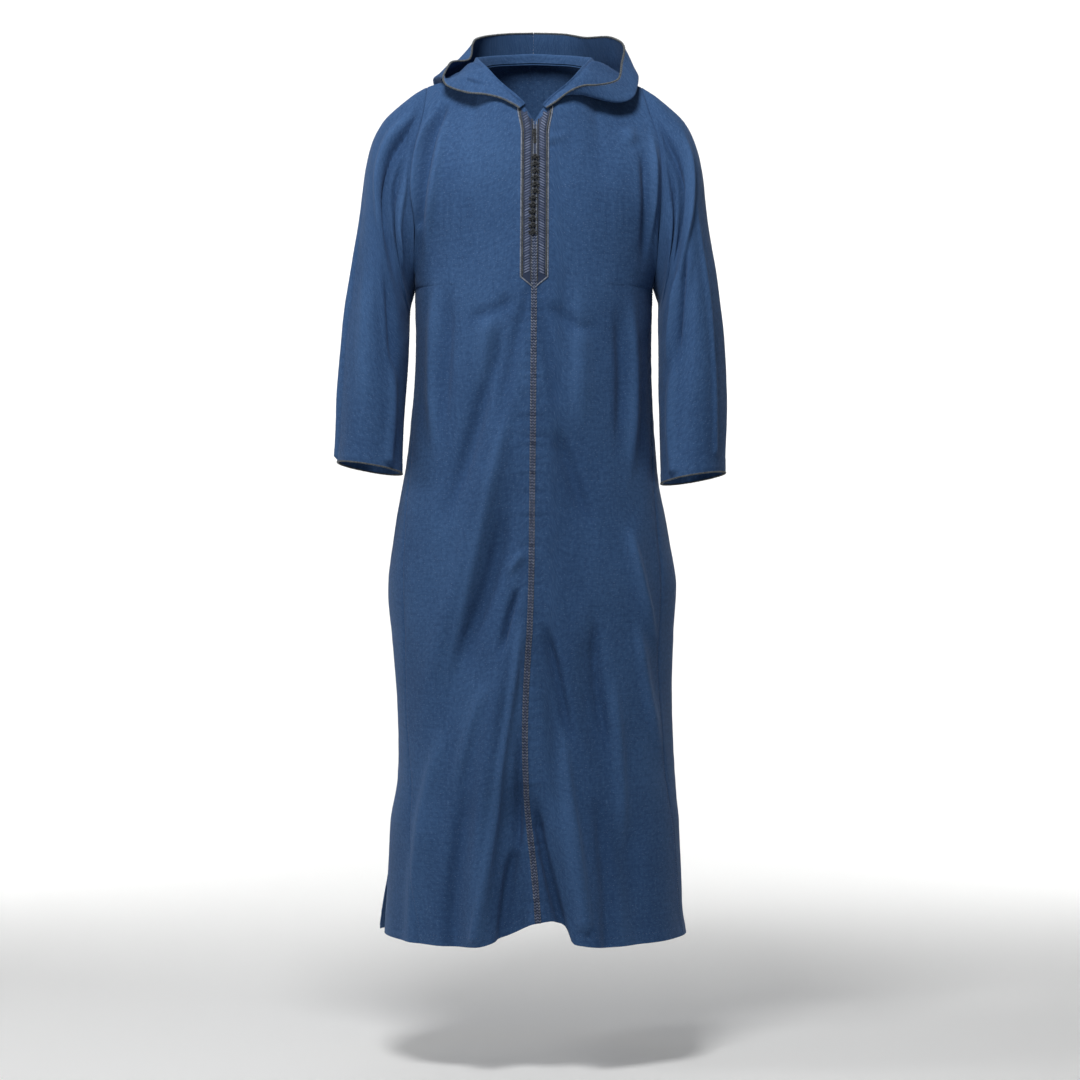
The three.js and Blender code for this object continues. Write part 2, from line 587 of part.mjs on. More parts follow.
function sleevePoint(side, turn, t) {
  const table = side === RIGHT ? SLEEVE_RIGHT : SLEEVE_LEFT;
  const read = (column) => sample(table, 't', column, t);
  const cos = Math.cos(radians(turn));
  const sin = Math.sin(radians(turn));
  const outer = new THREE.Vector3(side * read('outX'), read('midY'), read('outZ'));
  const inner = new THREE.Vector3(side * read('inX'), read('midY'), read('inZ'));
  const middle = outer.clone().add(inner).multiplyScalar(0.5);
  const arm = outer.clone().sub(inner).multiplyScalar(0.5);
  const swell = 1 + sleeveFold(turn, t) / read('depth');
  const point = middle.addScaledVector(arm, cos * swell);
  point.y -= read('depth') * sin * swell;
  point.x += side * SLEEVE_BELLY * sin * sin * (1 - t) ** 3;
  point.z += CUFF_BACK_DROP * sin * 0.5 * smooth(0.6, 1, t);
  const blend = smooth(0, 0.16, t);
  return armholeCell(side, turn).point.lerp(point, blend);
}

const SLEEVE_RANGE = { a0: -360, a1: 720, aSpan: 90, b0: 0, b1: 1, bSpan: 1 };

function sleeve(side) {
  const surface = (turn, t) => sleevePoint(side, (turn + 360) % 360, t);
  const rows = steps(13).map((n) => {
    const t = n ** 1.15;
    return steps(2 * UPPER_ROWS).slice(0, -1).map((share) => {
      const turn = 360 * share;
      if (n === 0) return armholeCell(side, turn);
      return { point: surface(turn, t), normal: normalAt(surface, turn, t, SLEEVE_RANGE) };
    });
  });
  return wall(rows, WALL, true);
}

function cuffCord(side) {
  const drop = new THREE.Vector3(0, 0, -(CORD_RADIUS + GAP + 0.6));
  const around = steps(2 * UPPER_ROWS).slice(0, -1);
  const points = around.map((share) => sleevePoint(side, 360 * share, 1).add(drop));
  return cord(points, CORD_RADIUS, true);
}

// ---------------------------------------------------------------- hood

// Moves a point that would be in the body's cloth clear of it by a lap, the shortest way.
function restOnBody(side, point, lap) {
  const x = point.x;
  const front = placeOnBody(side, 'front', x, point.z);
  const back = placeOnBody(side, 'back', x, point.z);
  const top = Math.max(front.top, back.top);
  const rise = top + lap - point.z;
  const forward = point.y - (bodyPoint(side, front.angle, front.level).y - lap);
  const backward = bodyPoint(side, back.angle, back.level).y + lap - point.y;
  if (rise <= 0 || forward <= 0 || backward <= 0) return point;
  const shortest = Math.min(rise, forward, backward);
  if (shortest === rise) point.z += rise;
  else if (shortest === forward) point.y -= forward;
  else point.y += backward;
  return point;
}

function hoodPoint(side, w, k) {
  const table = [...(side === RIGHT ? HOOD_RIGHT : HOOD_LEFT), ...HOOD_BACK];
  const read = (column) => {
    const rows = (axis) => table.map((row) => ({ w: row.w, value: row[column][axis] }));
    const at = (axis) => sample(rows(axis), 'w', 'value', w);
    return new THREE.Vector3(side * at(0), at(1), at(2));
  };
  const half = w < FRONT_SHARE ? 'front' : 'back';
  const share = w < FRONT_SHARE ? w / FRONT_SHARE : (1 - w) / (1 - FRONT_SHARE);
  const u = NECK_SIDE * share;
  const seam = bodyPoint(side, half === 'front' ? 90 * u : 180 - 90 * u, 1);
  seam.z += WALL + GAP;
  const stand = seam.clone().add(new THREE.Vector3(0, 0, sample(HOOD_STAND, 'w', 'rise', w)));
  stand.addScaledVector(new THREE.Vector3(seam.x, seam.y, 0).normalize(), 3);
  const nape = restOnBody(side, stand.clone().lerp(read('inner'), 0.3), LAP);
  const curve = [seam, stand, nape, read('inner'), read('low'), read('outer'), read('rim')];
  return restOnBody(side, spline(curve, k), lerp(WALL + GAP, LAP, smooth(0, 0.25, k)));
}

const HOOD_STATIONS = 22;
const HOOD_RANGE = { a0: HOOD_START, a1: 1, aSpan: 1, b0: 0, b1: 1, bSpan: 1 };

function hoodHalf(side) {
  const rows = steps(HOOD_STATIONS).map((n) => {
    const w = lerp(HOOD_START, 1, n);
    return steps(12).map((k) => {
      const surface = (a, b) => hoodPoint(side, a, b);
      const point = hoodPoint(side, w, k);
      const normal = normalAt(surface, w, k, HOOD_RANGE);
      if (n === 1) {
        point.x = side * GAP / 2;
        normal.x = 0;
      }
      return { point, normal: normal.normalize() };
    });
  });
  return wall(rows, WALL);
}

function hoodCord(side) {
  const points = steps(HOOD_STATIONS).map((n) => {
    const w = lerp(HOOD_START, 1, n);
    const rim = hoodPoint(side, w, 1);
    const inside = hoodPoint(side, w, 0.93);
    const beyond = rim.clone().sub(inside).normalize();
    const point = rim.addScaledVector(beyond, CORD_RADIUS + CORD_GAP);
    if (n === 1) point.x = side * (GAP + 0.8);
    return point;
  });
  return cord(points, CORD_RADIUS);
}

// ---------------------------------------------------------------- what lies on the front

const TRIM_GAP = 1.5; // between a panel and what lies on it

// A cell between the first two columns of a front panel, at a distance in x from the centre seam.
function besideCentre(side, level, distance, lift) {
  const z = levelZ(level);
  const gap = seamGap(z, side);
  const seam = level < 0 ? seamAngle(`${sideName(side)}Front`, z) - gap : 90;
  const first = bodyCell(side, gap, level);
  const second = bodyCell(side, lerp(gap, seam, 1 / FRONT_COLUMNS), level);
  const share = distance / Math.abs(second.point.x - first.point.x);
  const point = first.point.lerp(second.point, share);
  const normal = first.normal.setX(0).lerp(second.normal, share).normalize();
  return { point: point.addScaledVector(normal, lift), normal };
}

// A flat strip on the fronts. Each column has its side, its distance from the centre and its levels.
function frontStrip(columns, count, thickness) {
  const lift = WALL / 2 + TRIM_GAP + thickness / 2;
  const rows = steps(count).map((down) => columns.map(({ side, distance, top, low }) => {
    const level = lerp(top, low, down);
    return besideCentre(side, level, distance, lift);
  }));
  return wall(rows, thickness);
}

const TRIM_TOP = 0.9; // the level where the trims end under the V
const PLACKET_LOW = (PLACKET_POINT_Z - UNDERARM_Z) / (UNDERARM_Z - HEM_Z);
const PLACKET_SHOULDER = 1 / UPPER_ROWS; // the level where a band's outer edge turns to the point

function placketBand(side) {
  const outer = side === RIGHT ? 21 : 24;
  const columns = [PLACKET_INNER, (PLACKET_INNER + outer) / 2, outer].map((distance, n) => ({
    side, distance, top: TRIM_TOP, low: lerp(PLACKET_LOW, PLACKET_SHOULDER, n / 2),
  }));
  return frontStrip(columns, UPPER_ROWS, PLACKET_THICK);
}

function centreStrip(halfWidth, top, low, count, thickness) {
  const places = [[RIGHT, halfWidth], [RIGHT, 0], [LEFT, halfWidth]];
  const columns = places.map(([side, distance]) => ({ side, distance, top, low }));
  return frontStrip(columns, count, thickness);
}

const placketStrip = () => centreStrip(STRIP_HALF, TRIM_TOP, PLACKET_LOW, UPPER_ROWS, PLACKET_THICK);
const frontBraid = () => centreStrip(BRAID_WIDTH / 2, PLACKET_LOW - 0.003, -0.999, LOWER_ROWS, BRAID_THICK);

function button(z) {
  const lift = WALL / 2 + TRIM_GAP + PLACKET_THICK + GAP + BUTTON_RADIUS * 0.8;
  const geometry = new THREE.SphereGeometry(BUTTON_RADIUS, 8, 6);
  geometry.scale(1, 0.8, 1);
  const mesh = new THREE.Mesh(geometry, MATERIALS.knot);
  const drift = z < lerp(BUTTON_TOP_Z, BUTTON_LOW_Z, 0.5) ? -2 : 1;
  mesh.position.copy(onFront(drift, z, lift));
  return mesh;
}

// ---------------------------------------------------------------- assembly

const MATERIALS = {
  cloth: new THREE.MeshStandardMaterial({ color: 0x3a5680, roughness: 0.9, metalness: 0 }),
  embroidery: new THREE.MeshStandardMaterial({ color: 0x5a6580, roughness: 0.7, metalness: 0 }),
  braid: new THREE.MeshStandardMaterial({ color: 0x6d7388, roughness: 0.75, metalness: 0 }),
  knot: new THREE.MeshStandardMaterial({ color: 0x3a4042, roughness: 0.7, metalness: 0 }),
  edgeCord: new THREE.MeshStandardMaterial({ color: 0x6f7268, roughness: 0.8, metalness: 0 }),
};

const robe = new THREE.Group();

function add(name, geometry, material) {
  const mesh = new THREE.Mesh(geometry, material);
  mesh.name = name;
  robe.add(mesh);
}

for (const side of [RIGHT, LEFT]) {
  const name = sideName(side);
  add(`front_${name}`, frontPanel(side), MATERIALS.cloth);
  add(`side_gore_${name}`, gorePanel(side), MATERIALS.cloth);
  add(`sleeve_${name}`, sleeve(side), MATERIALS.cloth);
  add(`hood_${name}`, hoodHalf(side), MATERIALS.cloth);
  add(`placket_band_${name}`, placketBand(side), MATERIALS.embroidery);
  add(`hood_edge_cord_${name}`, hoodCord(side), MATERIALS.edgeCord);
  add(`cuff_cord_${name}`, cuffCord(side), MATERIALS.edgeCord);
}
add('back', backPanel(), MATERIALS.cloth);
add('placket_strip', placketStrip(), MATERIALS.embroidery);
add('front_braid', frontBraid(), MATERIALS.braid);

steps(BUTTONS - 1).forEach((share, n) => {
  const knot = button(lerp(BUTTON_TOP_Z, BUTTON_LOW_Z, share));
  knot.name = `knot_button_${String(n + 1).padStart(2, '0')}`;
  robe.add(knot);
});

export default robe;
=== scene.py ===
"""A djellaba: a long hooded robe of blue wool-blend cloth, hanging as it is worn."""
import math
from collections import namedtuple

import bpy
import numpy as np
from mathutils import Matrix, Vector


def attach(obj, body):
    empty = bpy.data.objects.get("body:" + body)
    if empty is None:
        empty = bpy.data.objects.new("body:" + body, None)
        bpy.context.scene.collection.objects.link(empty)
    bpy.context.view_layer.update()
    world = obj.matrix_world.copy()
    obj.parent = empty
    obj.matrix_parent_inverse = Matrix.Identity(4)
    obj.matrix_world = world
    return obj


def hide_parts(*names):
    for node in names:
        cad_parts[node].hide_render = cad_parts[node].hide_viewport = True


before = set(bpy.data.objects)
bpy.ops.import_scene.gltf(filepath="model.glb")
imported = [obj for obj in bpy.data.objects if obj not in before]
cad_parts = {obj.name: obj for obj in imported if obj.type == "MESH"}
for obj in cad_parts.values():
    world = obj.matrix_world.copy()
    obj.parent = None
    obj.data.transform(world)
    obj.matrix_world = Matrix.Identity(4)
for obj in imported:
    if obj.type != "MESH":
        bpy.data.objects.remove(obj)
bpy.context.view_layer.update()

# Tables and surfaces are in millimetres: +Z up, the robe faces -Y, +X is the wearer's left.
METRE = 0.001

# ------------------------------------------------------------------ sizes of the cut

CLOTH = 1.5  # thickness of one panel with its turnings
GAP = 0.1
WALL = 2
LAP = 7
UNDERARM_Z = -312
HEM_Z = -1338
SHOULDER_Y = 5
SHOULDER_ROLL = 2.4
ARMHOLE_FRONT = 82
ARMHOLE_BACK = 86
NECK_SIDE = 0.44
ARMHOLE_TURN = 62
VENT_TOP_Z = -1189
VENT_OPEN = 4
VENT_FLARE = {"right": 14, "left": 5}
PLACKET_POINT_Z = -321
BUTTONS = 12
BUTTON_TOP_Z = -116
BUTTON_LOW_Z = -234
RIGHT, LEFT = -1, 1


def side_name(side):
    return "right" if side == RIGHT else "left"


def table(columns, *rows):
    """A table with named columns, whose first column is its key and rises."""
    return {name: np.array(values, float) for name, values in zip(columns.split(), zip(*rows))}


BODY = table(
    "z right left front back",
    (-1345, 236, 245, 186, 184),
    (-1288, 233, 239, 182, 180),
    (-1168, 229, 234, 176, 172),
    (-1088, 215, 226, 172, 166),
    (-968, 216, 222, 166, 156),
    (-868, 224, 223, 162, 150),
    (-780, 231, 227, 158, 146),
    (-690, 220, 212, 156, 138),
    (-600, 203, 197, 154, 126),
    (-500, 193, 191, 152, 118),
    (-400, 187, 189, 148, 119),
    (-312, 188, 191, 143, 127),
    (-234, 186, 197, 138, 132),
    (-161, 190, 202, 134, 134),
    (-92, 186, 200, 130, 132),
    (-29, 174, 184, 128, 128),
    (17, 170, 173, 126, 124),
    (70, 169, 170, 124, 120),
)
SHOULDER = table("u z", (NECK_SIDE, 42), (0.6, 28), (0.8, 20), (1, 12))
NECK_FRONT = table(
    "u y z",
    (0, -105, -59),
    (0.057, -103, -39),
    (0.095, -101, -30),
    (0.167, -95, -17),
    (0.24, -86, -5),
    (0.314, -71, 7),
    (0.381, -42, 22),
    (NECK_SIDE, 5, 42),
)
NECK_BACK = table("u y z", (0, 78, 62), (0.15, 72, 60), (0.3, 46, 54), (NECK_SIDE, 5, 42))
CENTRE_FRONT = table(
    "z x",
    (-1338, 10),
    (-1230, 1),
    (-1130, -10),
    (-1030, -14),
    (-930, -12),
    (-800, -5),
    (-650, -3),
    (-321, 0),
    (0, 2),
)
HEM_RISE = table("x rise", (-250, 0), (-92, 0), (-40, 20), (0, 36), (38, 34), (58, 3), (250, 0))
GORE_SEAMS = table(
    "z right_front left_front back",
    (-1338, 49, 76, 99),
    (-1168, 56, 72, 98),
    (-1000, 66, 65, 96),
    (-780, 62, 63, 94),
    (-550, 76, 76, 92),
    (UNDERARM_Z, 89, 89, 91),
)
SLEEVES = {
    RIGHT: table(
        "t out_x out_z in_x in_z mid_y depth",
        (0.08, 206, -9, 192, -324, 4, 83),
        (0.2, 244, -52, 195, -334, 0, 85),
        (0.34, 264, -110, 197, -350, -4, 86),
        (0.5, 276, -208, 198, -385, -12, 84),
        (0.68, 293, -345, 200, -446, -24, 80),
        (0.84, 303, -470, 205, -522, -38, 77),
        (1, 309, -589, 208, -606, -50, 74),
    ),
    LEFT: table(
        "t out_x out_z in_x in_z mid_y depth",
        (0.08, 210, -12, 197, -324, 4, 83),
        (0.2, 246, -54, 200, -334, -2, 85),
        (0.34, 266, -112, 200, -350, -8, 86),
        (0.5, 278, -210, 200, -388, -18, 84),
        (0.68, 296, -350, 200, -452, -32, 80),
        (0.84, 303, -480, 201, -530, -46, 77),
        (1, 302, -606, 203, -622, -58, 74),
    ),
}
SLEEVE_BELLY = 12
CUFF_BACK_DROP = 10

# The hood's four guide points at each station w, from the bottom of the V round to the centre back.
HOOD_COLUMNS = "w ix iy iz lx ly lz ox oy oz rx ry rz"
HOOD_BACK_ROWS = (
    (0.8, 74, 116, -46, 92, 140, -100, 122, 136, -6, 86, 90, 107),
    (0.9, 42, 134, -118, 52, 154, -212, 74, 170, -80, 48, 116, 117),
    (1, 0, 138, -150, 0, 160, -290, 0, 186, -110, 0, 130, 121),
)
HOODS = {
    RIGHT: table(
        HOOD_COLUMNS,
        (0.08, 15, -107, -33, 16, -109, -34, 18, -110, -36, 20, -110, -38),
        (0.14, 27, -105, -22, 29, -108, -23, 32, -109, -26, 34, -109, -29),
        (0.22, 41, -99, -10, 45, -103, -13, 48, -105, -17, 52, -106, -20),
        (0.3, 56, -91, 1, 63, -94, -4, 70, -96, -9, 77, -96, -13),
        (0.38, 72, -80, 12, 83, -82, 5, 93, -82, -2, 103, -80, -8),
        (0.46, 88, -62, 27, 105, -62, 20, 120, -58, 12, 134, -50, 7),
        (0.5, 98, -36, 38, 115, -40, 27, 131, -40, 17, 142, -36, 20),
        (0.525, 102, -17, 38, 125, -18, 26, 144, -18, 24, 139, -20, 36),
        (0.55, 106, 4, 37, 134, 6, 26, 152, 4, 30, 131, 0, 52),
        (0.62, 105, 34, 34, 140, 40, 22, 160, 36, 32, 104, 34, 62),
        (0.7, 98, 84, 8, 126, 98, -14, 152, 82, 24, 98, 54, 91),
        *HOOD_BACK_ROWS,
    ),
    LEFT: table(
        HOOD_COLUMNS,
        (0.08, 15, -107, -33, 16, -109, -34, 18, -110, -36, 20, -110, -38),
        (0.14, 27, -105, -22, 30, -108, -24, 33, -110, -26, 36, -112, -27),
        (0.22, 41, -99, -9, 46, -104, -13, 52, -108, -17, 56, -112, -13),
        (0.3, 57, -92, 1, 66, -97, -11, 79, -102, -15, 79, -107, -3),
        (0.38, 74, -82, 9, 90, -88, -14, 106, -88, -18, 102, -88, 1),
        (0.46, 90, -62, 24, 118, -72, -14, 142, -66, -20, 126, -66, 9),
        (0.5, 98, -36, 38, 134, -52, 0, 160, -48, -8, 137, -44, 20),
        (0.55, 114, 4, 44, 150, 6, 28, 168, -2, 28, 142, -8, 48),
        (0.62, 108, 36, 34, 142, 42, 20, 163, 32, 38, 146, 26, 82),
        (0.7, 98, 84, 8, 126, 98, -12, 154, 84, 28, 124, 60, 102),
        *HOOD_BACK_ROWS,
    ),
}
HOOD_STAND = table("w rise", (0, 3), (0.15, 5), (0.3, 8), (0.45, 17), (0.6, 15), (1, 12))
HOOD_START = 0.08
FRONT_SHARE = 0.55

# ------------------------------------------------------------------ folds and creases

# The large folds, each through three points: height and x at its top, middle and low end.
Fold = namedtuple("Fold", "z0 x0 z1 x1 z2 x2 width height hold")
FRONT_FOLDS = [
    Fold(-470, -34, -740, -97, -1030, -192, 24, 11, 0),
    Fold(-340, -40, -550, -94, -720, -148, 24, -9, 0),
    Fold(-600, -36, -820, -86, -1080, -150, 30, -12, 0.3),
    Fold(-800, -14, -1060, -57, -1345, -92, 20, 14, 1),
    Fold(-1060, -20, -1200, -32, -1345, -40, 34, -22, 1),
    Fold(-500, 26, -613, 60, -760, 106, 24, -9, 0),
    Fold(-800, 8, -930, 39, -1120, 74, 20, -11, 0.2),
    Fold(-800, 98, -930, 99, -1130, 140, 20, -11, 0.2),
    Fold(-1080, 8, -1200, 26, -1345, 38, 20, -18, 1),
    Fold(-1100, 45, -1230, 66, -1345, 86, 24, 10, 1),
    Fold(-660, 154, -770, 168, -900, 196, 16, 9, 0),
    Fold(-820, 160, -940, 182, -1080, 204, 14, 8, 0),
    Fold(-1120, -160, -1240, -156, -1345, -150, 22, 9, 1),
    Fold(-1120, 150, -1240, 158, -1345, 164, 22, -9, 1),
]
BACK_FOLDS = [
    Fold(-360, 64, -760, 92, -1345, 124, 28, 13, 1),
    Fold(-420, -50, -820, -84, -1345, -112, 30, 14, 1),
    Fold(-520, 10, -880, 4, -1345, 16, 36, -14, 1),
    Fold(-620, 128, -900, 158, -1345, 178, 24, -12, 1),
    Fold(-700, -140, -980, -166, -1345, -176, 24, -12, 1),
]
SleeveFold = namedtuple("SleeveFold", "t0 a0 t1 a1 width height")
SLEEVE_FOLDS = [
    SleeveFold(0.06, 70, 0.5, 128, 13, -8),
    SleeveFold(0.08, 100, 0.36, 160, 13, 7),
    SleeveFold(0.5, 80, 0.8, 120, 12, -5),
    SleeveFold(0.52, 20, 0.97, 8, 11, 4),
    SleeveFold(0.08, 285, 0.5, 232, 15, -7),
    SleeveFold(0.5, 270, 0.85, 235, 14, -5),
]

# The finer creases run along a bend through (x0, z0), (x1, z1) and (x2, z2). before and after are
# the half widths on its right and left hand as it runs, height is how far it stands out, or in
# where it is negative, and start and end are the shares of that left at its two ends.
Crease = namedtuple("Crease", "x0 z0 x1 z1 x2 z2 before after height start end")
FRONT_CREASES = [
    Crease(-37, -494, -84, -700, -150, -1000, 7, 11, 2.5, 0, 0),
    Crease(-43, -356, -88, -540, -143, -701, 12, 9, -3, 0, 0),
    Crease(-43, -642, -70, -780, -123, -908, 9, 14, -3.5, 0, 0),
    Crease(-13, -731, -25, -745, -40, -768, 7, 7, 2.5, 0, 0),
    Crease(-17, -775, -37, -834, -52, -900, 6, 5, -4, 0, 0),
    Crease(-18, -830, -40, -985, -90, -1325, 5, 9, 3.5, 0, 1),
    Crease(-19, -985, -22, -1120, -24, -1200, 7, 7, -4, 0, 0),
    Crease(-26, -1180, -38, -1240, -48, -1330, 7, 9, -4, 0, 1),
    Crease(-95, -1085, -116, -1200, -124, -1338, 12, 16, -4, 0, 1),
    Crease(-130, -980, -170, -1150, -186, -1338, 12, 12, 4, 0, 1),
    Crease(-60, -910, -96, -1010, -124, -1120, 12, 8, 3, 0, 0),
    Crease(36, -539, 61, -613, 92, -705, 9, 9, -2.5, 0, 0),
    Crease(14, -834, 38, -930, 62, -1048, 7, 7, -3.5, 0, 0),
    Crease(3, -1111, 18, -1200, 50, -1325, 6, 6, -4, 0, 1),
    Crease(45, -980, 58, -1120, 82, -1300, 11, 8, 4, 0, 1),
    Crease(101, -830, 98, -930, 123, -1060, 8, 8, -4, 0, 0),
    Crease(120, -900, 134, -1060, 140, -1220, 9, 9, 3.5, 0, 0),
    Crease(96, -1090, 112, -1210, 118, -1335, 11, 11, -4, 0, 1),
    Crease(163, -834, 176, -940, 203, -1060, 6, 8, 3.5, 0, 0),
    Crease(150, -690, 168, -775, 196, -890, 6, 6, 4, 0, 0),
    Crease(-60, -330, -72, -420, -66, -520, 14, 14, 2.5, 0, 0),
    Crease(66, -300, 74, -420, 70, -560, 14, 16, 2.5, 0, 0),
    Crease(128, -330, 138, -450, 130, -600, 9, 9, -3, 0, 0),
    Crease(-128, -300, -136, -430, -140, -560, 9, 9, -3, 0, 0),
    Crease(150, -300, 158, -470, 146, -640, 7, 9, 3.5, 0, 0),
    Crease(-146, -280, -158, -440, -150, -600, 9, 7, 3.5, 0, 0),
    Crease(-132, -20, -160, -80, -176, -210, 8, 6, -5, 0, 0.4),
    Crease(-148, -25, -182, -110, -178, -260, 6, 6, 3.5, 0, 0),
    Crease(-128, -38, -150, -120, -172, -300, 7, 7, 3, 0, 0),
    Crease(168, -90, 178, -180, 170, -290, 7, 6, -4, 0, 0),
    Crease(184, -60, 190, -150, 176, -270, 6, 6, 3, 0, 0),
    Crease(142, -62, 152, -76, 158, -90, 10, 10, 2.5, 0, 0),
    Crease(22, -96, 30, -99, 44, -97, 4, 4, -0.9, 0, 0),
    Crease(22, -80, 36, -84, 60, -80, 6, 6, 1, 0, 0),
    Crease(-24, -330, -60, -356, -110, -372, 12, 12, -2, 0, 0),
    Crease(20, -340, 56, -372, 110, -392, 12, 12, -2, 0, 0),
    Crease(-4, -322, -30, -420, -60, -560, 10, 10, -2, 0.4, 0),
    Crease(4, -322, 24, -420, 40, -540, 10, 10, -2, 0.4, 0),
]
BACK_CREASES = [
    Crease(-20, -120, -60, -180, -120, -230, 12, 16, 3, 0, 0),
    Crease(24, -110, 70, -180, 130, -220, 14, 12, 3, 0, 0),
    Crease(-40, -260, -60, -520, -80, -820, 9, 14, 4, 0, 0),
    Crease(52, -300, 66, -560, 84, -800, 14, 9, 4, 0, 0),
    Crease(-8, -340, 2, -620, -6, -900, 12, 12, -4, 0, 0),
    Crease(96, -420, 118, -660, 128, -960, 8, 12, -3.5, 0, 0),
    Crease(-104, -380, -124, -640, -132, -940, 12, 8, -3.5, 0, 0),
    Crease(-86, -820, -100, -1050, -116, -1338, 6, 11, 4, 0, 1),
    Crease(92, -760, 110, -1020, 122, -1338, 11, 6, 4, 0, 1),
    Crease(-46, -900, -52, -1100, -60, -1338, 11, 11, -4, 0, 1),
    Crease(54, -860, 62, -1090, 66, -1338, 11, 11, -4, 0, 1),
    Crease(14, -900, 22, -1120, 28, -1338, 9, 9, 3.5, 0, 1),
    Crease(-14, -960, -22, -1160, -26, -1338, 9, 9, 3, 0, 1),
    Crease(150, -760, 172, -980, 184, -1300, 8, 8, 3.5, 0, 1),
    Crease(-150, -820, -174, -1000, -186, -1310, 8, 8, 3.5, 0, 1),
    Crease(150, -40, 168, -140, 160, -290, 8, 8, -4.5, 0, 0.3),
    Crease(-150, -40, -170, -140, -160, -290, 8, 8, -4.5, 0, 0.3),
    Crease(130, -70, 142, -170, 128, -320, 10, 8, 3, 0, 0),
    Crease(-130, -70, -146, -180, -130, -330, 8, 10, 3, 0, 0),
]
# On a sleeve, x is degrees round it and z is thousandths of its length from the armhole, downwards.
SLEEVE_CREASES = {
    RIGHT: [
        Crease(48, -30, 66, -170, 104, -400, 6, 8, -5, 0, 0),
        Crease(40, -60, 52, -200, 82, -420, 8, 6, 3, 0, 0),
        Crease(66, -60, 92, -160, 134, -250, 6, 5, -3.5, 0, 0),
        Crease(84, -60, 104, -130, 138, -190, 5, 5, 2.5, 0, 0),
        Crease(24, -380, 20, -700, 14, -990, 4, 4, 2.2, 0, 1),
        Crease(96, -420, 118, -600, 136, -820, 10, 10, -3, 0, 0),
        Crease(60, -560, 72, -720, 84, -900, 14, 14, 2, 0, 0),
        Crease(120, -640, 132, -800, 128, -980, 9, 9, 2.5, 0, 1),
        Crease(306, -60, 286, -220, 246, -420, 8, 6, -4, 0, 0),
        Crease(320, -80, 302, -260, 270, -520, 8, 8, 3, 0, 0),
        Crease(290, -500, 276, -700, 262, -980, 11, 11, -3, 0, 1),
        Crease(252, -420, 240, -600, 232, -840, 8, 8, 2.5, 0, 0),
        Crease(334, -420, 338, -700, 340, -980, 4, 4, -1.5, 0, 1),
    ],
    LEFT: [
        Crease(52, -40, 74, -180, 118, -360, 8, 6, -4.5, 0, 0),
        Crease(36, -120, 60, -300, 104, -480, 8, 10, 3, 0, 0),
        Crease(70, -80, 96, -160, 140, -240, 6, 5, -3, 0, 0),
        Crease(84, -380, 104, -540, 126, -760, 8, 6, -4, 0, 0),
        Crease(106, -400, 124, -520, 142, -700, 6, 6, 2.5, 0, 0),
        Crease(58, -330, 52, -640, 50, -960, 4, 4, 1.6, 0, 1),
        Crease(120, -660, 134, -820, 130, -980, 9, 9, 2.5, 0, 1),
        Crease(300, -60, 282, -220, 240, -420, 6, 8, -4, 0, 0),
        Crease(322, -80, 300, -260, 268, -520, 8, 8, 3, 0, 0),
        Crease(286, -500, 278, -700, 266, -980, 11, 11, -3, 0, 1),
        Crease(248, -420, 238, -600, 230, -840, 8, 8, 2.5, 0, 0),
    ],
}
# On a hood half, x is thousandths of the way round the neck and z of the way to the rim, downwards.
HOOD_CREASES = [
    Crease(420, -250, 500, -420, 560, -700, 26, 20, -2.5, 0, 0),
    Crease(560, -200, 640, -420, 690, -760, 26, 26, 3, 0, 0),
    Crease(700, -240, 760, -460, 790, -800, 26, 22, -3.5, 0, 0),
    Crease(830, -180, 860, -430, 850, -760, 22, 26, 3.5, 0, 0),
    Crease(930, -240, 920, -480, 900, -800, 20, 20, -3, 0, 0),
    Crease(300, -500, 380, -640, 470, -720, 30, 24, -1.5, 0, 0),
]

# ------------------------------------------------------------------ small maths


def lerp(a, b, t):
    return a + (b - a) * t


def smooth(low, high, value):
    t = np.clip((value - low) / (high - low), 0, 1)
    return t * t * (3 - 2 * t)


def sample(rows, key, column, at):
    """A smooth curve through a table's rows, read at places of its key column."""
    xs, ys = rows[key], rows[column]
    last = len(xs) - 1
    place = np.clip(at, xs[0], xs[-1])
    i = np.clip(np.searchsorted(xs, place) - 1, 0, last - 1)
    near = [np.clip(i + n, 0, last) for n in (-1, 0, 1, 2)]
    x0, x1, x2, x3 = (xs[n] for n in near)
    y0, y1, y2, y3 = (ys[n] for n in near)
    span = x2 - x1
    rise, fall = (y2 - y0) / (x2 - x0), (y3 - y1) / (x3 - x1)
    t = (place - x1) / span
    t2, t3 = t * t, t * t * t
    return (
        (2 * t3 - 3 * t2 + 1) * y1
        + (t3 - 2 * t2 + t) * span * rise
        + (3 * t2 - 2 * t3) * y2
        + (t3 - t2) * span * fall
    )


def pack(x, y, z):
    return np.stack(np.broadcast_arrays(x, y, z), axis=-1).astype(float)


def unit(vectors):
    return vectors / np.maximum(np.linalg.norm(vectors, axis=-1, keepdims=True), 1e-9)


def noise(x, z, seed):
    """Soft value noise between -1 and 1 with one bump to each unit."""
    cells = np.random.default_rng(seed).uniform(-1, 1, (97, 97))
    i, j = np.floor(x).astype(int), np.floor(z).astype(int)
    fx, fz = x - i, z - j
    fx, fz = fx * fx * (3 - 2 * fx), fz * fz * (3 - 2 * fz)

    def cell(a, b):
        return cells[(i + a) % 97, (j + b) % 97]

    low = lerp(cell(0, 0), cell(1, 0), fx)
    return lerp(low, lerp(cell(0, 1), cell(1, 1), fx), fz)


BEND_STEPS = 28
CREASE_DEPTH = 2.7


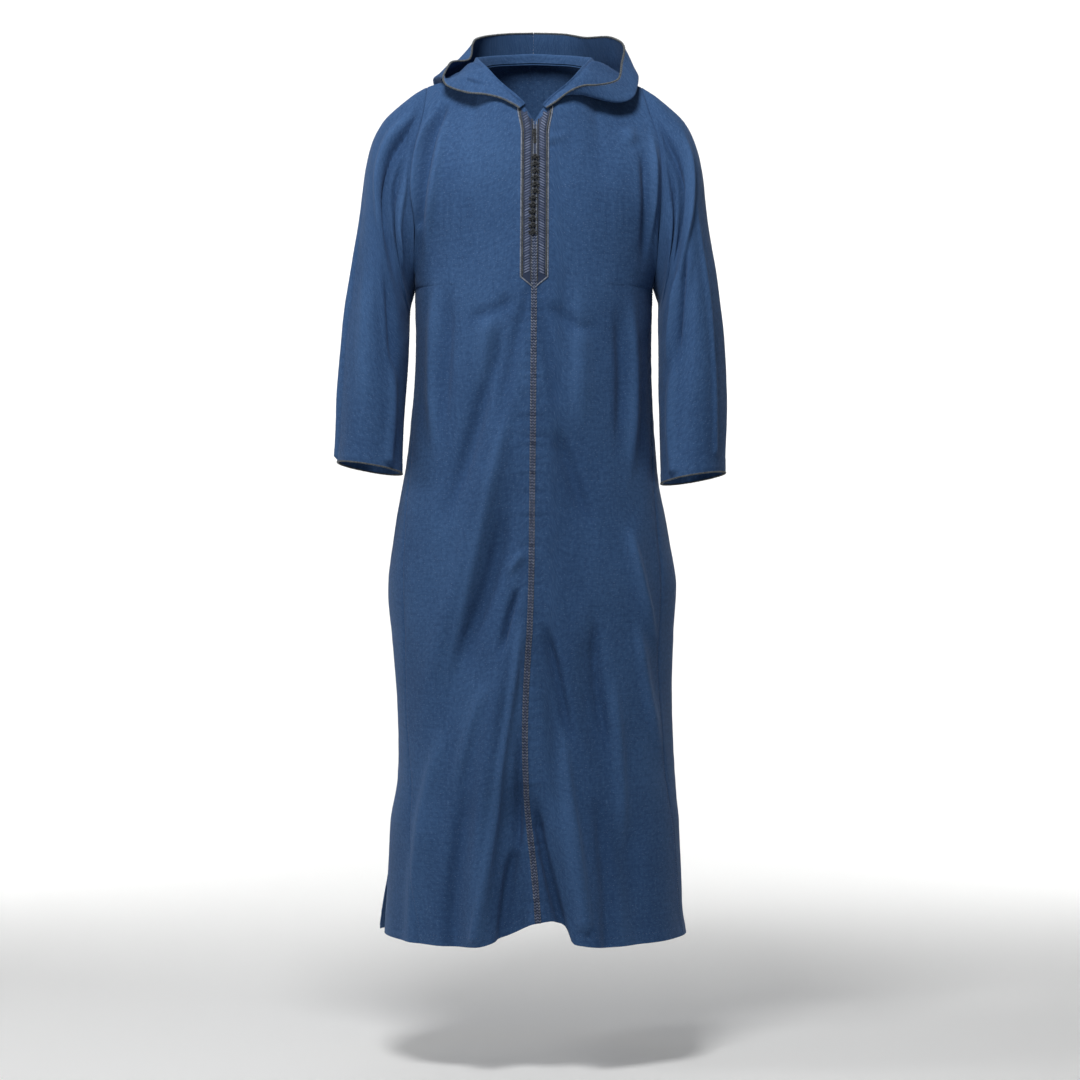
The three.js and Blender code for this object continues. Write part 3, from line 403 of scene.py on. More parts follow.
def crease_height(creases, x, z):
    """How far the finer creases move the cloth out at each (x, z)."""
    total = np.zeros(np.broadcast(x, z).shape)
    x, z = np.broadcast_to(x, total.shape), np.broadcast_to(z, total.shape)
    s = np.linspace(0, 1, BEND_STEPS)
    for c in creases:
        # the bend passes through its middle point
        mx, mz = 2 * c.x1 - (c.x0 + c.x2) / 2, 2 * c.z1 - (c.z0 + c.z2) / 2
        bx = (1 - s) ** 2 * c.x0 + 2 * s * (1 - s) * mx + s * s * c.x2
        bz = (1 - s) ** 2 * c.z0 + 2 * s * (1 - s) * mz + s * s * c.z2
        reach = 3 * max(c.before, c.after)
        near = (x > bx.min() - reach) & (x < bx.max() + reach)
        near &= (z > bz.min() - reach) & (z < bz.max() + reach)
        if not near.any():
            continue
        px, pz = x[near], z[near]
        i = np.argmin((px[:, None] - bx) ** 2 + (pz[:, None] - bz) ** 2, axis=1)
        tx, tz = np.gradient(bx), np.gradient(bz)
        length = np.hypot(tx, tz)
        tx, tz, length = (tx / length)[i], (tz / length)[i], length[i]
        dx, dz = px - bx[i], pz - bz[i]
        along = dx * tx + dz * tz
        off = tx * dz - tz * dx
        place = np.clip((i + along / length) / (BEND_STEPS - 1), 0, 1)
        beyond = np.where((i == 0) & (along < 0) | (i == BEND_STEPS - 1) & (along > 0), along, 0)
        wide = np.where(off < 0, c.before, c.after)
        rise = lerp(c.start, 1, smooth(0, 0.35, place)) * lerp(c.end, 1, smooth(0, 0.35, 1 - place))
        total[near] += CREASE_DEPTH * c.height * rise * np.exp(-(off**2 + beyond**2) / wide**2)
    return total


# ------------------------------------------------------------------ the body's surface


def fold_height(folds, x, z):
    total = np.zeros(x.shape)
    for f in folds:
        t = np.clip((f.z0 - z) / (f.z0 - f.z2), 0, 1)
        middle = (f.z0 - f.z1) / (f.z0 - f.z2)
        bend = (f.x1 - lerp(f.x0, f.x2, middle)) / (middle * (1 - middle))
        place = lerp(f.x0, f.x2, t) + bend * t * (1 - t)
        fade = lerp(1, f.hold, smooth(0.6, 1, t))
        across = (x - place) / f.width
        total += np.where(z > f.z0, 0, f.height * smooth(0, 0.3, t) * fade * np.exp(-across**2))
    return total


def armhole_depth(half, z):
    """How far the armhole seam stands from the shoulder line, and as it bends the panel."""
    reach = -ARMHOLE_FRONT if half == "front" else ARMHOLE_BACK
    t = np.clip((z - UNDERARM_Z) / (SHOULDER["z"][-1] - UNDERARM_Z), 0, 1)
    return reach * np.sqrt(4 * t * (1 - t)), reach * np.sin(math.pi * t) ** 2


def column_top(half, u):
    """Where a front or back column ends: on the neckline or on the shoulder line."""
    neck = NECK_FRONT if half == "front" else NECK_BACK
    on_shoulder = u >= NECK_SIDE
    y = np.where(on_shoulder, SHOULDER_Y, sample(neck, "u", "y", u))
    return y, np.where(on_shoulder, sample(SHOULDER, "u", "z", u), sample(neck, "u", "z", u))


def upper_point(side, half, u, v):
    """A point above the underarm. u is 0 at the centre and 1 at the armhole, v is the rise."""
    top_y, top_z = column_top(half, u)
    z = lerp(UNDERARM_Z, top_z, v)
    girth = sample(BODY, "z", side_name(side), z)
    turn = np.radians(lerp(90, ARMHOLE_TURN, smooth(UNDERARM_Z, UNDERARM_Z + 170, z)))
    sign = -1 if half == "front" else 1
    edge, panel = armhole_depth(half, z)
    seam_y = SHOULDER_Y * v + panel
    depth = sign * sample(BODY, "z", half, z)
    bow = (np.cos(turn * u) - np.cos(turn)) / (1 - np.cos(turn))
    flat = seam_y + (depth - seam_y) * bow + (edge - panel) * u**6
    roll = (1 - np.clip(v, 0, 1) ** SHOULDER_ROLL) ** (1 / SHOULDER_ROLL)
    rolled = top_y + (flat - top_y) * roll + sign * (GAP / 2 + 0.05) * v**8
    return pack(side * girth * np.sin(turn * u) / np.sin(turn), rolled, z)


def ring_point(side, angle, drop):
    """A point below the underarm. angle is 0 at the centre front and 180 at the centre back."""
    sin, cos = np.sin(np.radians(angle)), np.cos(np.radians(angle))
    front = cos > 0
    rough_x = side * sample(BODY, "z", side_name(side), HEM_Z) * sin
    rise = np.where(front, sample(HEM_RISE, "x", "rise", rough_x), 0)
    z = lerp(UNDERARM_Z, HEM_Z + rise, drop)
    girth = sample(BODY, "z", side_name(side), z)
    depth = np.where(front, sample(BODY, "z", "front", z), sample(BODY, "z", "back", z))
    x, y = side * girth * sin, -depth * cos
    out_x, out_y = side * depth * sin, -girth * cos
    length = np.hypot(out_x, out_y)
    fold = np.where(front, fold_height(FRONT_FOLDS, x, z), fold_height(BACK_FOLDS, x, z))
    fold = fold * np.abs(cos) ** 0.4
    return pack(x + out_x / length * fold, y + out_y / length * fold, z)


def body_point(side, angle, level):
    """The whole body: level runs from -1 at the hem through 0 at the underarm to 1 at the top."""
    angle, level = np.broadcast_arrays(np.asarray(angle, float), np.asarray(level, float))
    low = ring_point(side, angle, np.clip(-level, 0, 1))
    v = (1 - np.cos(math.pi * np.clip(level, 0, 1))) / 2
    front = upper_point(side, "front", np.clip(angle / 90, 0, 1), v)
    back = upper_point(side, "back", np.clip((180 - angle) / 90, 0, 1), v)
    high = np.where((angle <= 90)[..., None], front, back)
    point = np.where((level > 0)[..., None], high, low)
    sway = sample(CENTRE_FRONT, "z", "x", point[..., 2]) * np.cos(np.radians(angle)) ** 2
    point[..., 0] += np.where(angle < 90, sway, 0)
    return point


def normal_of(surface, a, b, a_limits, b_limits, a_step, b_step):
    """The direction across a surface of two parameters, by small steps that stay on it."""
    across = surface(np.minimum(a + a_step, a_limits[1]), b)
    across = across - surface(np.maximum(a - a_step, a_limits[0]), b)
    up = surface(a, np.minimum(b + b_step, b_limits[1]))
    up = up - surface(a, np.maximum(b - b_step, b_limits[0]))
    return unit(np.cross(across, up))


def body_normal(side, angle, level):
    front = angle <= 90
    low = np.where((level > 0) & ~front, 90.001, 0)
    high = np.where((level > 0) & front, 90, 180)
    normal = side * normal_of(
        lambda a, b: body_point(side, a, b), angle, level, (low, high), (-1, 1), 0.01, 1e-4
    )
    on_shoulder = (level >= 1) & (np.minimum(angle, 180 - angle) >= 90 * NECK_SIDE)
    normal[..., 1] = np.where(on_shoulder, 0, normal[..., 1])
    return unit(normal)


def place_on_body(side, half, x, z):
    """The angle and level at which the front or back passes through (x, z), and its top."""
    shift = sample(CENTRE_FRONT, "z", "x", z) if half == "front" else 0
    girth = sample(BODY, "z", side_name(side), z)
    turn = lerp(90, ARMHOLE_TURN, smooth(UNDERARM_Z, UNDERARM_Z + 170, z))
    sine = np.clip((x - shift) * side / girth, 0, 1) * np.sin(np.radians(turn))
    u = np.degrees(np.arcsin(sine)) / turn
    angle = 90 * u if half == "front" else 180 - 90 * u
    top = column_top(half, u)[1]
    v = np.clip((z - UNDERARM_Z) / (top - UNDERARM_Z), 0, 1)
    rough_x = side * sample(BODY, "z", side_name(side), HEM_Z) * np.sin(np.radians(angle))
    hem = HEM_Z + (sample(HEM_RISE, "x", "rise", rough_x) if half == "front" else 0)
    low = -np.clip((UNDERARM_Z - z) / (UNDERARM_Z - hem), 0, 1)
    high = z > UNDERARM_Z
    return angle, np.where(high, np.arccos(1 - 2 * v) / math.pi, low), np.where(high, top, 1e4)


def seam_angle(side, name, z):
    column = "back" if name == "back" else f"{side_name(side)}_front"
    return sample(GORE_SEAMS, "z", column, z)


def level_z(level):
    return lerp(UNDERARM_Z, np.where(level < 0, HEM_Z, 0), np.abs(level))


SEAM_SINK = 1.1  # how far a seam draws the cloth in
SEAM_REACH = 3.2
HEM_TURN = 15  # the hem is turned up this far


def body_height(side, angle, level, point):
    """How far the finer creases, the seams and the hand of the cloth move it out."""
    x, z = point[..., 0], point[..., 2]
    front = angle <= 90
    fine = np.where(front, crease_height(FRONT_CREASES, x, z), crease_height(BACK_CREASES, x, z))
    round_side = np.abs(np.cos(np.radians(angle))) ** 0.3
    shade = lerp(round_side, 1, smooth(0, 0.3, level))
    soft = 1.5 * noise(x / 46 + 9, z / 120, 3) + 0.7 * noise(x / 19 + 5, z / 52, 4)
    soft += 0.22 * noise(x / 8, z / 15, 5)
    # the cloth draws up in short puckers beside the centre seam
    off = np.abs(x - sample(CENTRE_FRONT, "z", "x", z))
    drawn = np.exp(-((off / 25) ** 2)) * np.where(front, 1, 0)
    soft += drawn * (1.0 * noise(x / 46, z / 6.5, 6) + 0.45 * noise(x / 60 + 7, z / 3.4, 8))
    arc = sample(BODY, "z", side_name(side), z) * math.pi / 180
    seams = [seam_angle(side, "front", z), seam_angle(side, "back", z)]
    nearest = np.minimum(*(np.abs(angle - seam) for seam in seams)) * arc
    below = 1 - smooth(-0.015, 0.015, level)
    gather = below * np.exp(-((nearest / SEAM_REACH) ** 2))
    centre = np.exp(-((off / SEAM_REACH) ** 2)) * front
    armhole = (1 - below) * np.exp(-((np.abs(angle - 90) * arc / SEAM_REACH) ** 2))
    pucker = np.exp(-((nearest / 12) ** 2)) * 0.35 * below * noise(z / 5.5, x / 60, 12)
    calm = 1 - np.exp(-((nearest / 9) ** 2)) * 0.6
    hem = np.where(level < 0, 0.5 * (1 - smooth(HEM_TURN - 1, HEM_TURN + 1, (1 + level) * 1026)), 0)
    near_top = 1 - smooth(0.82, 0.97, level)
    sink = SEAM_SINK * (gather + 0.6 * centre + armhole)
    return (fine * shade + soft * calm) * near_top - sink + pucker + hem


def body_surface(side, angle, level, lift=0.0):
    """The cloth's middle with its creases, moved out by lift, and its outward direction."""
    angle, level = np.broadcast_arrays(np.asarray(angle, float), np.asarray(level, float))
    point = body_point(side, angle, level)
    normal = body_normal(side, angle, level)
    height = body_height(side, angle, level, point)
    return point + normal * (height + lift)[..., None], normal, height


# ------------------------------------------------------------------ sleeves


def armhole_point(side, turn):
    """The armhole seam: round from the shoulder (0) by the front to the underarm (180)."""
    turn = turn % 360
    level = np.maximum(np.abs(180 - turn) / 180, 1e-4)
    point = body_point(side, np.where(turn <= 180, 90, 90.001), level)
    point[..., 0] += side * (GAP + (WALL + GAP) * smooth(-150, -290, point[..., 2]))
    return point


def sleeve_point(side, turn, t):
    turn, t = np.broadcast_arrays(np.asarray(turn, float) % 360, np.asarray(t, float))
    rows = SLEEVES[side]
    read = {name: sample(rows, "t", name, t) for name in rows if name != "t"}
    fold = np.zeros(turn.shape)
    for f in SLEEVE_FOLDS:
        along = (t - f.t0) / (f.t1 - f.t0)
        across = (turn - lerp(f.a0, f.a1, along)) / f.width
        inside = (along > 0) & (along < 1)
        fold += np.where(inside, f.height * np.sin(math.pi * along) * np.exp(-across**2), 0)
    cos, sin = np.cos(np.radians(turn)), np.sin(np.radians(turn))
    swell = 1 + fold / read["depth"]
    outer = pack(side * read["out_x"], read["mid_y"], read["out_z"])
    inner = pack(side * read["in_x"], read["mid_y"], read["in_z"])
    point = (outer + inner) / 2 + (outer - inner) / 2 * (cos * swell)[..., None]
    point[..., 1] -= read["depth"] * sin * swell
    point[..., 0] += side * SLEEVE_BELLY * sin**2 * (1 - t) ** 3
    point[..., 2] += CUFF_BACK_DROP * sin * 0.5 * smooth(0.6, 1, t)
    blend = smooth(0, 0.16, t)[..., None]
    return lerp(armhole_point(side, turn), point, blend)


def sleeve_surface(side, turn, t, lift=0.0):
    turn, t = np.broadcast_arrays(np.asarray(turn, float), np.asarray(t, float))
    point = sleeve_point(side, turn, t)
    normal = -side * normal_of(
        lambda a, b: sleeve_point(side, a, b), turn, t, (-400, 800), (0, 1), 0.05, 1e-3
    )
    middle = sleeve_point(side, turn * 0, t) + sleeve_point(side, turn * 0 + 180, t)
    outward = np.sum(normal * (point - middle / 2), axis=-1).mean()
    normal = normal * (1 if outward > 0 else -1)
    height = crease_height(SLEEVE_CREASES[side], turn % 360 * 1.0, -1000 * t)
    from_seam = (turn + 180) % 360
    x, z = from_seam * 1.2, t * 600
    soft = 1.2 * noise(x / 44, z / 90, 21 + side) + 0.5 * noise(x / 17, z / 40, 24 + side)
    soft += 0.2 * noise(x / 7, z / 13, 27)
    wrap = smooth(0, 14, from_seam) * smooth(0, 14, 360 - from_seam)
    seam = np.exp(-((np.minimum(from_seam, 360 - from_seam) * 1.5 / SEAM_REACH) ** 2))
    height = height - 0.9 * seam * smooth(0.02, 0.06, t)
    height = height + soft * wrap * smooth(0, 0.08, t) - 0.8 * np.exp(-((t / 0.006) ** 2))
    height = height + 0.45 * smooth(0.968, 0.975, t)
    return point + normal * (height + lift)[..., None], normal, height


# ------------------------------------------------------------------ the hood


def rest_on_body(side, point, lap):
    """Moves points that would be in the body's cloth clear of it by a lap, the shortest way."""
    x, y, z = point[..., 0], point[..., 1], point[..., 2]
    front_angle, front_level, front_top = place_on_body(side, "front", x, z)
    back_angle, back_level, back_top = place_on_body(side, "back", x, z)
    rise = np.maximum(front_top, back_top) + lap - z
    forward = y - (body_point(side, front_angle, front_level)[..., 1] - lap)
    backward = body_point(side, np.maximum(back_angle, 90.001), back_level)[..., 1] + lap - y
    inside = (rise > 0) & (forward > 0) & (backward > 0)
    least = np.minimum(rise, np.minimum(forward, backward))
    z = z + np.where(inside & (least == rise), rise, 0)
    y = y + np.where(inside & (least == backward) & (least != rise), backward, 0)
    only_forward = inside & (least == forward) & (least != rise) & (least != backward)
    y = y - np.where(only_forward, forward, 0)
    return pack(x, y, z)


def hood_point(side, w, k):
    """A point of a hood half: w runs round the neck seam, k from the seam over to the rim."""
    w, k = np.broadcast_arrays(np.asarray(w, float), np.asarray(k, float))
    rows = HOODS[side]

    def guide(letter):
        x, y, z = (sample(rows, "w", letter + axis, w) for axis in "xyz")
        return pack(side * x, y, z)

    front = w < FRONT_SHARE
    share = np.where(front, w / FRONT_SHARE, (1 - w) / (1 - FRONT_SHARE))
    u = NECK_SIDE * share
    seam = body_point(side, np.where(front, 90 * u, 180 - 90 * u), 1)
    seam[..., 2] += WALL + GAP
    away = unit(seam * np.array([1, 1, 0]))
    stand = seam + away * 3
    stand[..., 2] += sample(HOOD_STAND, "w", "rise", w)
    inner = guide("i")
    nape = rest_on_body(side, lerp(stand, inner, 0.3), LAP)
    curve = np.stack([seam, stand, nape, inner, guide("l"), guide("o"), guide("r")])
    place = np.clip(k, 0, 1) * 6
    i = np.minimum(place.astype(int), 5)
    f = (place - i)[..., None]

    def knot(n):
        chosen = np.clip(i + n, 0, 6)[None, ..., None]
        return np.take_along_axis(curve, chosen, axis=0)[0]

    a, b, c, d = (knot(n) for n in (-1, 0, 1, 2))
    out = 2 * b + (c - a) * f + (2 * a - 5 * b + 4 * c - d) * f**2 + (3 * b - a - 3 * c + d) * f**3
    return rest_on_body(side, out / 2, lerp(WALL + GAP, LAP, smooth(0, 0.25, k)))


def hood_surface(side, w, k, lift=0.0):
    w, k = np.broadcast_arrays(np.asarray(w, float), np.asarray(k, float))
    point = hood_point(side, w, k)
    normal = side * normal_of(
        lambda a, b: hood_point(side, a, b), w, k, (HOOD_START, 1), (0, 1), 2e-3, 2e-3
    )
    back = w >= 1 - 1e-9
    normal[..., 0] = np.where(back, 0, normal[..., 0])
    point[..., 0] = np.where(back, side * 0.02, point[..., 0])
    x, z = w * 520, k * 300
    soft = 0.8 * noise(x / 60, z / 50, 31 + side) + 0.35 * noise(x / 20, z / 20, 34 + side)
    room = smooth(0.3, 0.5, k) * smooth(0.3, 0.45, w) * (1 - smooth(0.95, 1, w))
    height = (crease_height(HOOD_CREASES, w * 1000, -k * 1000) + soft) * room
    return point + unit(normal) * (height + lift)[..., None], unit(normal), height


# ------------------------------------------------------------------ making meshes


def new_object(name, points, faces, uv=None, attributes=None):
    mesh = bpy.data.meshes.new(name)
    mesh.from_pydata((np.asarray(points) * METRE).tolist(), [], [tuple(f) for f in faces])
    if uv is not None:
        layer = mesh.uv_layers.new(name="cloth")
        corner = np.empty(len(mesh.loops), int)
        mesh.loops.foreach_get("vertex_index", corner)
        layer.data.foreach_set("uv", (np.asarray(uv) * METRE)[corner].ravel())
    for label, values in (attributes or {}).items():
        vector = np.ndim(values) == 2
        kind = "FLOAT_VECTOR" if vector else "FLOAT"
        layer = mesh.attributes.new(label, kind, "POINT")
        layer.data.foreach_set("vector" if vector else "value", np.asarray(values, float).ravel())
    mesh.update()
    thing = bpy.data.objects.new(name, mesh)
    bpy.context.scene.collection.objects.link(thing)
    return thing


def wall_faces(rows, columns, around):
    """The faces of a closed wall whose outer layer comes first, then its inner one."""
    wide = columns if around else columns - 1
    i, j = np.meshgrid(np.arange(rows - 1), np.arange(wide), indexing="ij")
    a, b = (i * columns + j).ravel(), (i * columns + (j + 1) % columns).ravel()
    c, d = b + columns, a + columns
    layer = rows * columns
    outer = np.stack([a, b, c, d], 1)
    inner = np.stack([a, d, c, b], 1) + layer
    j = np.arange(wide)
    top = (rows - 1) * columns
    edges = [((j + 1) % columns, j), (top + j, top + (j + 1) % columns)]
    if not around:
        i = np.arange(rows - 1)
        edges.append((i * columns, (i + 1) * columns))
        edges.append(((i + 2) * columns - 1, (i + 1) * columns - 1))
    rims = [np.stack([p, q, q + layer, p + layer], 1) for p, q in edges]
    return np.concatenate([outer, inner, *rims])


def face_outward(points, faces):
    """Faces of a closed mesh, turned over if they face inward."""
    corner = points[faces[:, :3]]
    volume = np.sum(corner[:, 0] * np.cross(corner[:, 1], corner[:, 2]))
    return faces[:, ::-1] if volume < 0 else faces


def cloth_wall(name, surface, a, b, thickness=CLOTH, around=False, length=None):
    """A thin closed shell through a surface on a grid, with its grain in its own map."""
    point, normal, height = surface(a, b)
    rows, columns = height.shape
    across = np.linalg.norm(np.diff(point, axis=1), axis=-1)
    along = np.linalg.norm(np.diff(point, axis=0), axis=-1)
    u = np.concatenate([np.zeros((rows, 1)), np.cumsum(across, 1)], 1)
    v = np.concatenate([np.zeros((1, columns)), np.cumsum(along, 0)], 0)
    if length is not None:
        v = np.broadcast_to(b * length, height.shape)
    uv = np.stack([u, v], -1).reshape(-1, 2)
    points = [(point + normal * way * thickness / 2).reshape(-1, 3) for way in (1, -1)]
    faces = wall_faces(rows, columns, around)
    points = np.concatenate(points)
    faces = face_outward(points, faces)
    # the fold attribute holds the crease height, which the cloth material turns into painted light
    # on ridges and painted shade in troughs
    thing = new_object(
        name, points, faces, np.concatenate([uv, uv]), {"fold": np.tile(height.ravel(), 2)}
    )
    thing.data.shade_smooth()
    thing.data.set_sharp_from_angle(angle=math.radians(60))
    return thing


def spread(count, crowd=0.35):
    """Shares from 0 to 1 that crowd a little towards both ends."""
    n = np.linspace(0, 1, count + 1)
    return n - crowd * np.sin(2 * math.pi * n) / (2 * math.pi)

# ------------------------------------------------------------------ nodes


class Value:
    """A socket that arithmetic can be done with: each operation adds a Math node."""

    def __init__(self, graph, socket):
        self.graph, self.socket = graph, socket

    def math(self, operation, *others):
        return self.graph.add(
            "ShaderNodeMath", {"operation": operation}, dict(enumerate((self, *others)))
        )["Value"]

    def __add__(self, other):
        return self.math("ADD", other)

    def __sub__(self, other):
        return self.math("SUBTRACT", other)

    def __rsub__(self, other):
        return (self * -1.0) + other

    def __mul__(self, other):
        return self.math("MULTIPLY", other)

    __radd__, __rmul__ = __add__, __mul__

    def sine(self):
        return self.math("SINE")

    def above(self, low, high):
        """0 under low, 1 over high and smooth between."""
        return self.graph.add(
            "ShaderNodeMapRange",
            {"interpolation_type": "SMOOTHSTEP"},
            {"Value": self, "From Min": low, "From Max": high},
        )["Result"]


class Graph:
    """Adds nodes to a node tree and hands back their outputs by name."""

    def __init__(self, tree):
        self.tree = tree

    def add(self, kind, settings=None, inputs=None):
        node = self.tree.nodes.new(kind)
        for name, value in (settings or {}).items():
            setattr(node, name, value)
        for name, value in (inputs or {}).items():
            socket = node.inputs[name]
            if isinstance(value, Value):
                self.tree.links.new(value.socket, socket)
            elif value is not None:
                socket.default_value = value
        outputs = {}
        for socket in node.outputs:
            if socket.enabled and socket.name not in outputs:
                outputs[socket.name] = Value(self, socket)
        return outputs

    def mix(self, share, first, second):
        node = self.add(
            "ShaderNodeMix", {"data_type": "RGBA"}, {0: share, 6: first, 7: second}
        )
        return node["Result"]

    def noise(self, place, scale, detail):
        return self.add(
            "ShaderNodeTexNoise", None, {"Vector": place, "Scale": scale, "Detail": detail}
        )["Fac"]


def rgb(red, green, blue):
    return (red, green, blue, 1.0)


def new_material(name, constants):
    """A material with one shader, whose fixed values are set on its own sockets."""
    material = bpy.data.materials.new(name)
    material.use_nodes = True
    graph = Graph(material.node_tree)
    shader = material.node_tree.nodes["Principled BSDF"]
    for socket, value in constants.items():
        shader.inputs[socket].default_value = value
    return material, graph, shader


def finish_material(graph, shader, color, roughness, height, distance, strength=1.0):
    bump = graph.add(
        "ShaderNodeBump", None, {"Height": height, "Distance": distance, "Strength": strength}
    )["Normal"]
    links = graph.tree.links
    links.new(color.socket, shader.inputs["Base Color"])
    links.new(roughness.socket, shader.inputs["Roughness"])
    links.new(bump.socket, shader.inputs["Normal"])


THREADS = 900.0  # twill lines to a metre
CLOTH_RELIEF, THREAD_RELIEF = 0.00022, 0.00015  # bump heights in metres
BLUE = rgb(0.031, 0.082, 0.198)
BLUE_LIGHT = rgb(0.054, 0.124, 0.268)
BLUE_DEEP = rgb(0.013, 0.042, 0.117)
FLECK = rgb(0.16, 0.24, 0.40)


def cloth_material():
    material, graph, shader = new_material(
        "brushed twill",
        {"Sheen Weight": 0.09, "Sheen Roughness": 0.45, "Sheen Tint": rgb(0.45, 0.6, 0.9),
         "Specular IOR Level": 0.25},
    )
    place = graph.add("ShaderNodeUVMap", {"uv_map": "cloth"})["UV"]
    apart = graph.add("ShaderNodeSeparateXYZ", None, {0: place})
    u, v = apart["X"], apart["Y"]

    def cloudy(scale, stretch, detail=2.0):
        there = graph.add("ShaderNodeCombineXYZ", None, {0: u * stretch[0], 1: v * stretch[1]})
        return graph.noise(there["Vector"], scale, detail)

    waver = cloudy(60.0, (1, 1)) * 3.0
    twill = ((u * 0.9 + v) * (THREADS * 2 * math.pi) + waver).sine()
    slub = cloudy(420.0, (1, 0.05)) * 0.5 + cloudy(420.0, (0.05, 1)) * 0.5
    mottle = cloudy(170.0, (1, 1), 4.0)
    cloud = cloudy(9.0, (1, 0.6), 3.0)
    nap = cloudy(1500.0, (1, 1), 1.0)
    flecks = cloudy(700.0, (0.5, 1), 0.0).above(0.70, 0.78)
    # painted light and shade: the crease height in the fold attribute makes the fold crests lighter
    # and the troughs darker; mottle, slub and cloud are the cloth's own uneven tone
    fold = graph.add("ShaderNodeAttribute", {"attribute_name": "fold"})["Fac"]
    painted_ridge_light = fold.above(-4.0, 5.0)
    tone = mottle * 1.2 + slub * 0.9 + cloud * 0.7 + painted_ridge_light * 0.4 - 1.1
    color = graph.mix(tone.above(0.0, 1.0), BLUE_DEEP, BLUE_LIGHT)
    color = graph.mix(0.45, color, BLUE)
    color = graph.mix(flecks * 0.35, color, FLECK)
    height = twill * 0.35 + slub * 1.4 + nap * 0.5 + mottle * 0.5
    finish_material(graph, shader, color, slub * 0.12 + 0.82, height, CLOTH_RELIEF, 0.55)
    return material


def thread_material(name, dark, light, roughness=0.62, sheen=0.25):
    """Thread or cord: each stitch takes its own tone, and fine strands run over it."""
    material, graph, shader = new_material(
        name, {"Sheen Weight": sheen, "Sheen Roughness": 0.4, "Specular IOR Level": 0.35}
    )
    place = graph.add("ShaderNodeTexCoord")["Object"]
    speckle = graph.noise(place, 900.0, 2.0)
    strands = graph.add(
        "ShaderNodeTexWave", {"bands_direction": "DIAGONAL"},
        {"Vector": place, "Scale": 700.0, "Distortion": 1.5},
    )["Fac"]
    tone = graph.add("ShaderNodeAttribute", {"attribute_name": "tone"})["Fac"]
    share = (tone * 0.75 + speckle * 0.5 - 0.12).above(0.0, 1.0)
    color = graph.mix(share, dark, light)
    roughness = speckle * 0.2 + (roughness - 0.1)
    finish_material(graph, shader, color, roughness, strands + speckle, THREAD_RELIEF, 0.6)
    return material


cloth = cloth_material()
lavender = thread_material("lavender thread", rgb(0.070, 0.095, 0.175), rgb(0.185, 0.225, 0.345))
silver = thread_material("light cord", rgb(0.115, 0.135, 0.175), rgb(0.27, 0.30, 0.36))
olive = thread_material("olive cord", rgb(0.030, 0.034, 0.036), rgb(0.085, 0.088, 0.080))
charcoal = thread_material("charcoal cord", rgb(0.012, 0.014, 0.017), rgb(0.055, 0.060, 0.064))
edging = thread_material("whipped edge", rgb(0.045, 0.055, 0.068), rgb(0.135, 0.148, 0.150))
navy = thread_material("navy ground", rgb(0.014, 0.026, 0.062), rgb(0.030, 0.052, 0.115))
beige = thread_material("braid thread", rgb(0.10, 0.125, 0.185), rgb(0.27, 0.30, 0.37))
blue_thread = thread_material("blue thread", rgb(0.026, 0.062, 0.160), rgb(0.060, 0.120, 0.260))

# ------------------------------------------------------------------ stitches


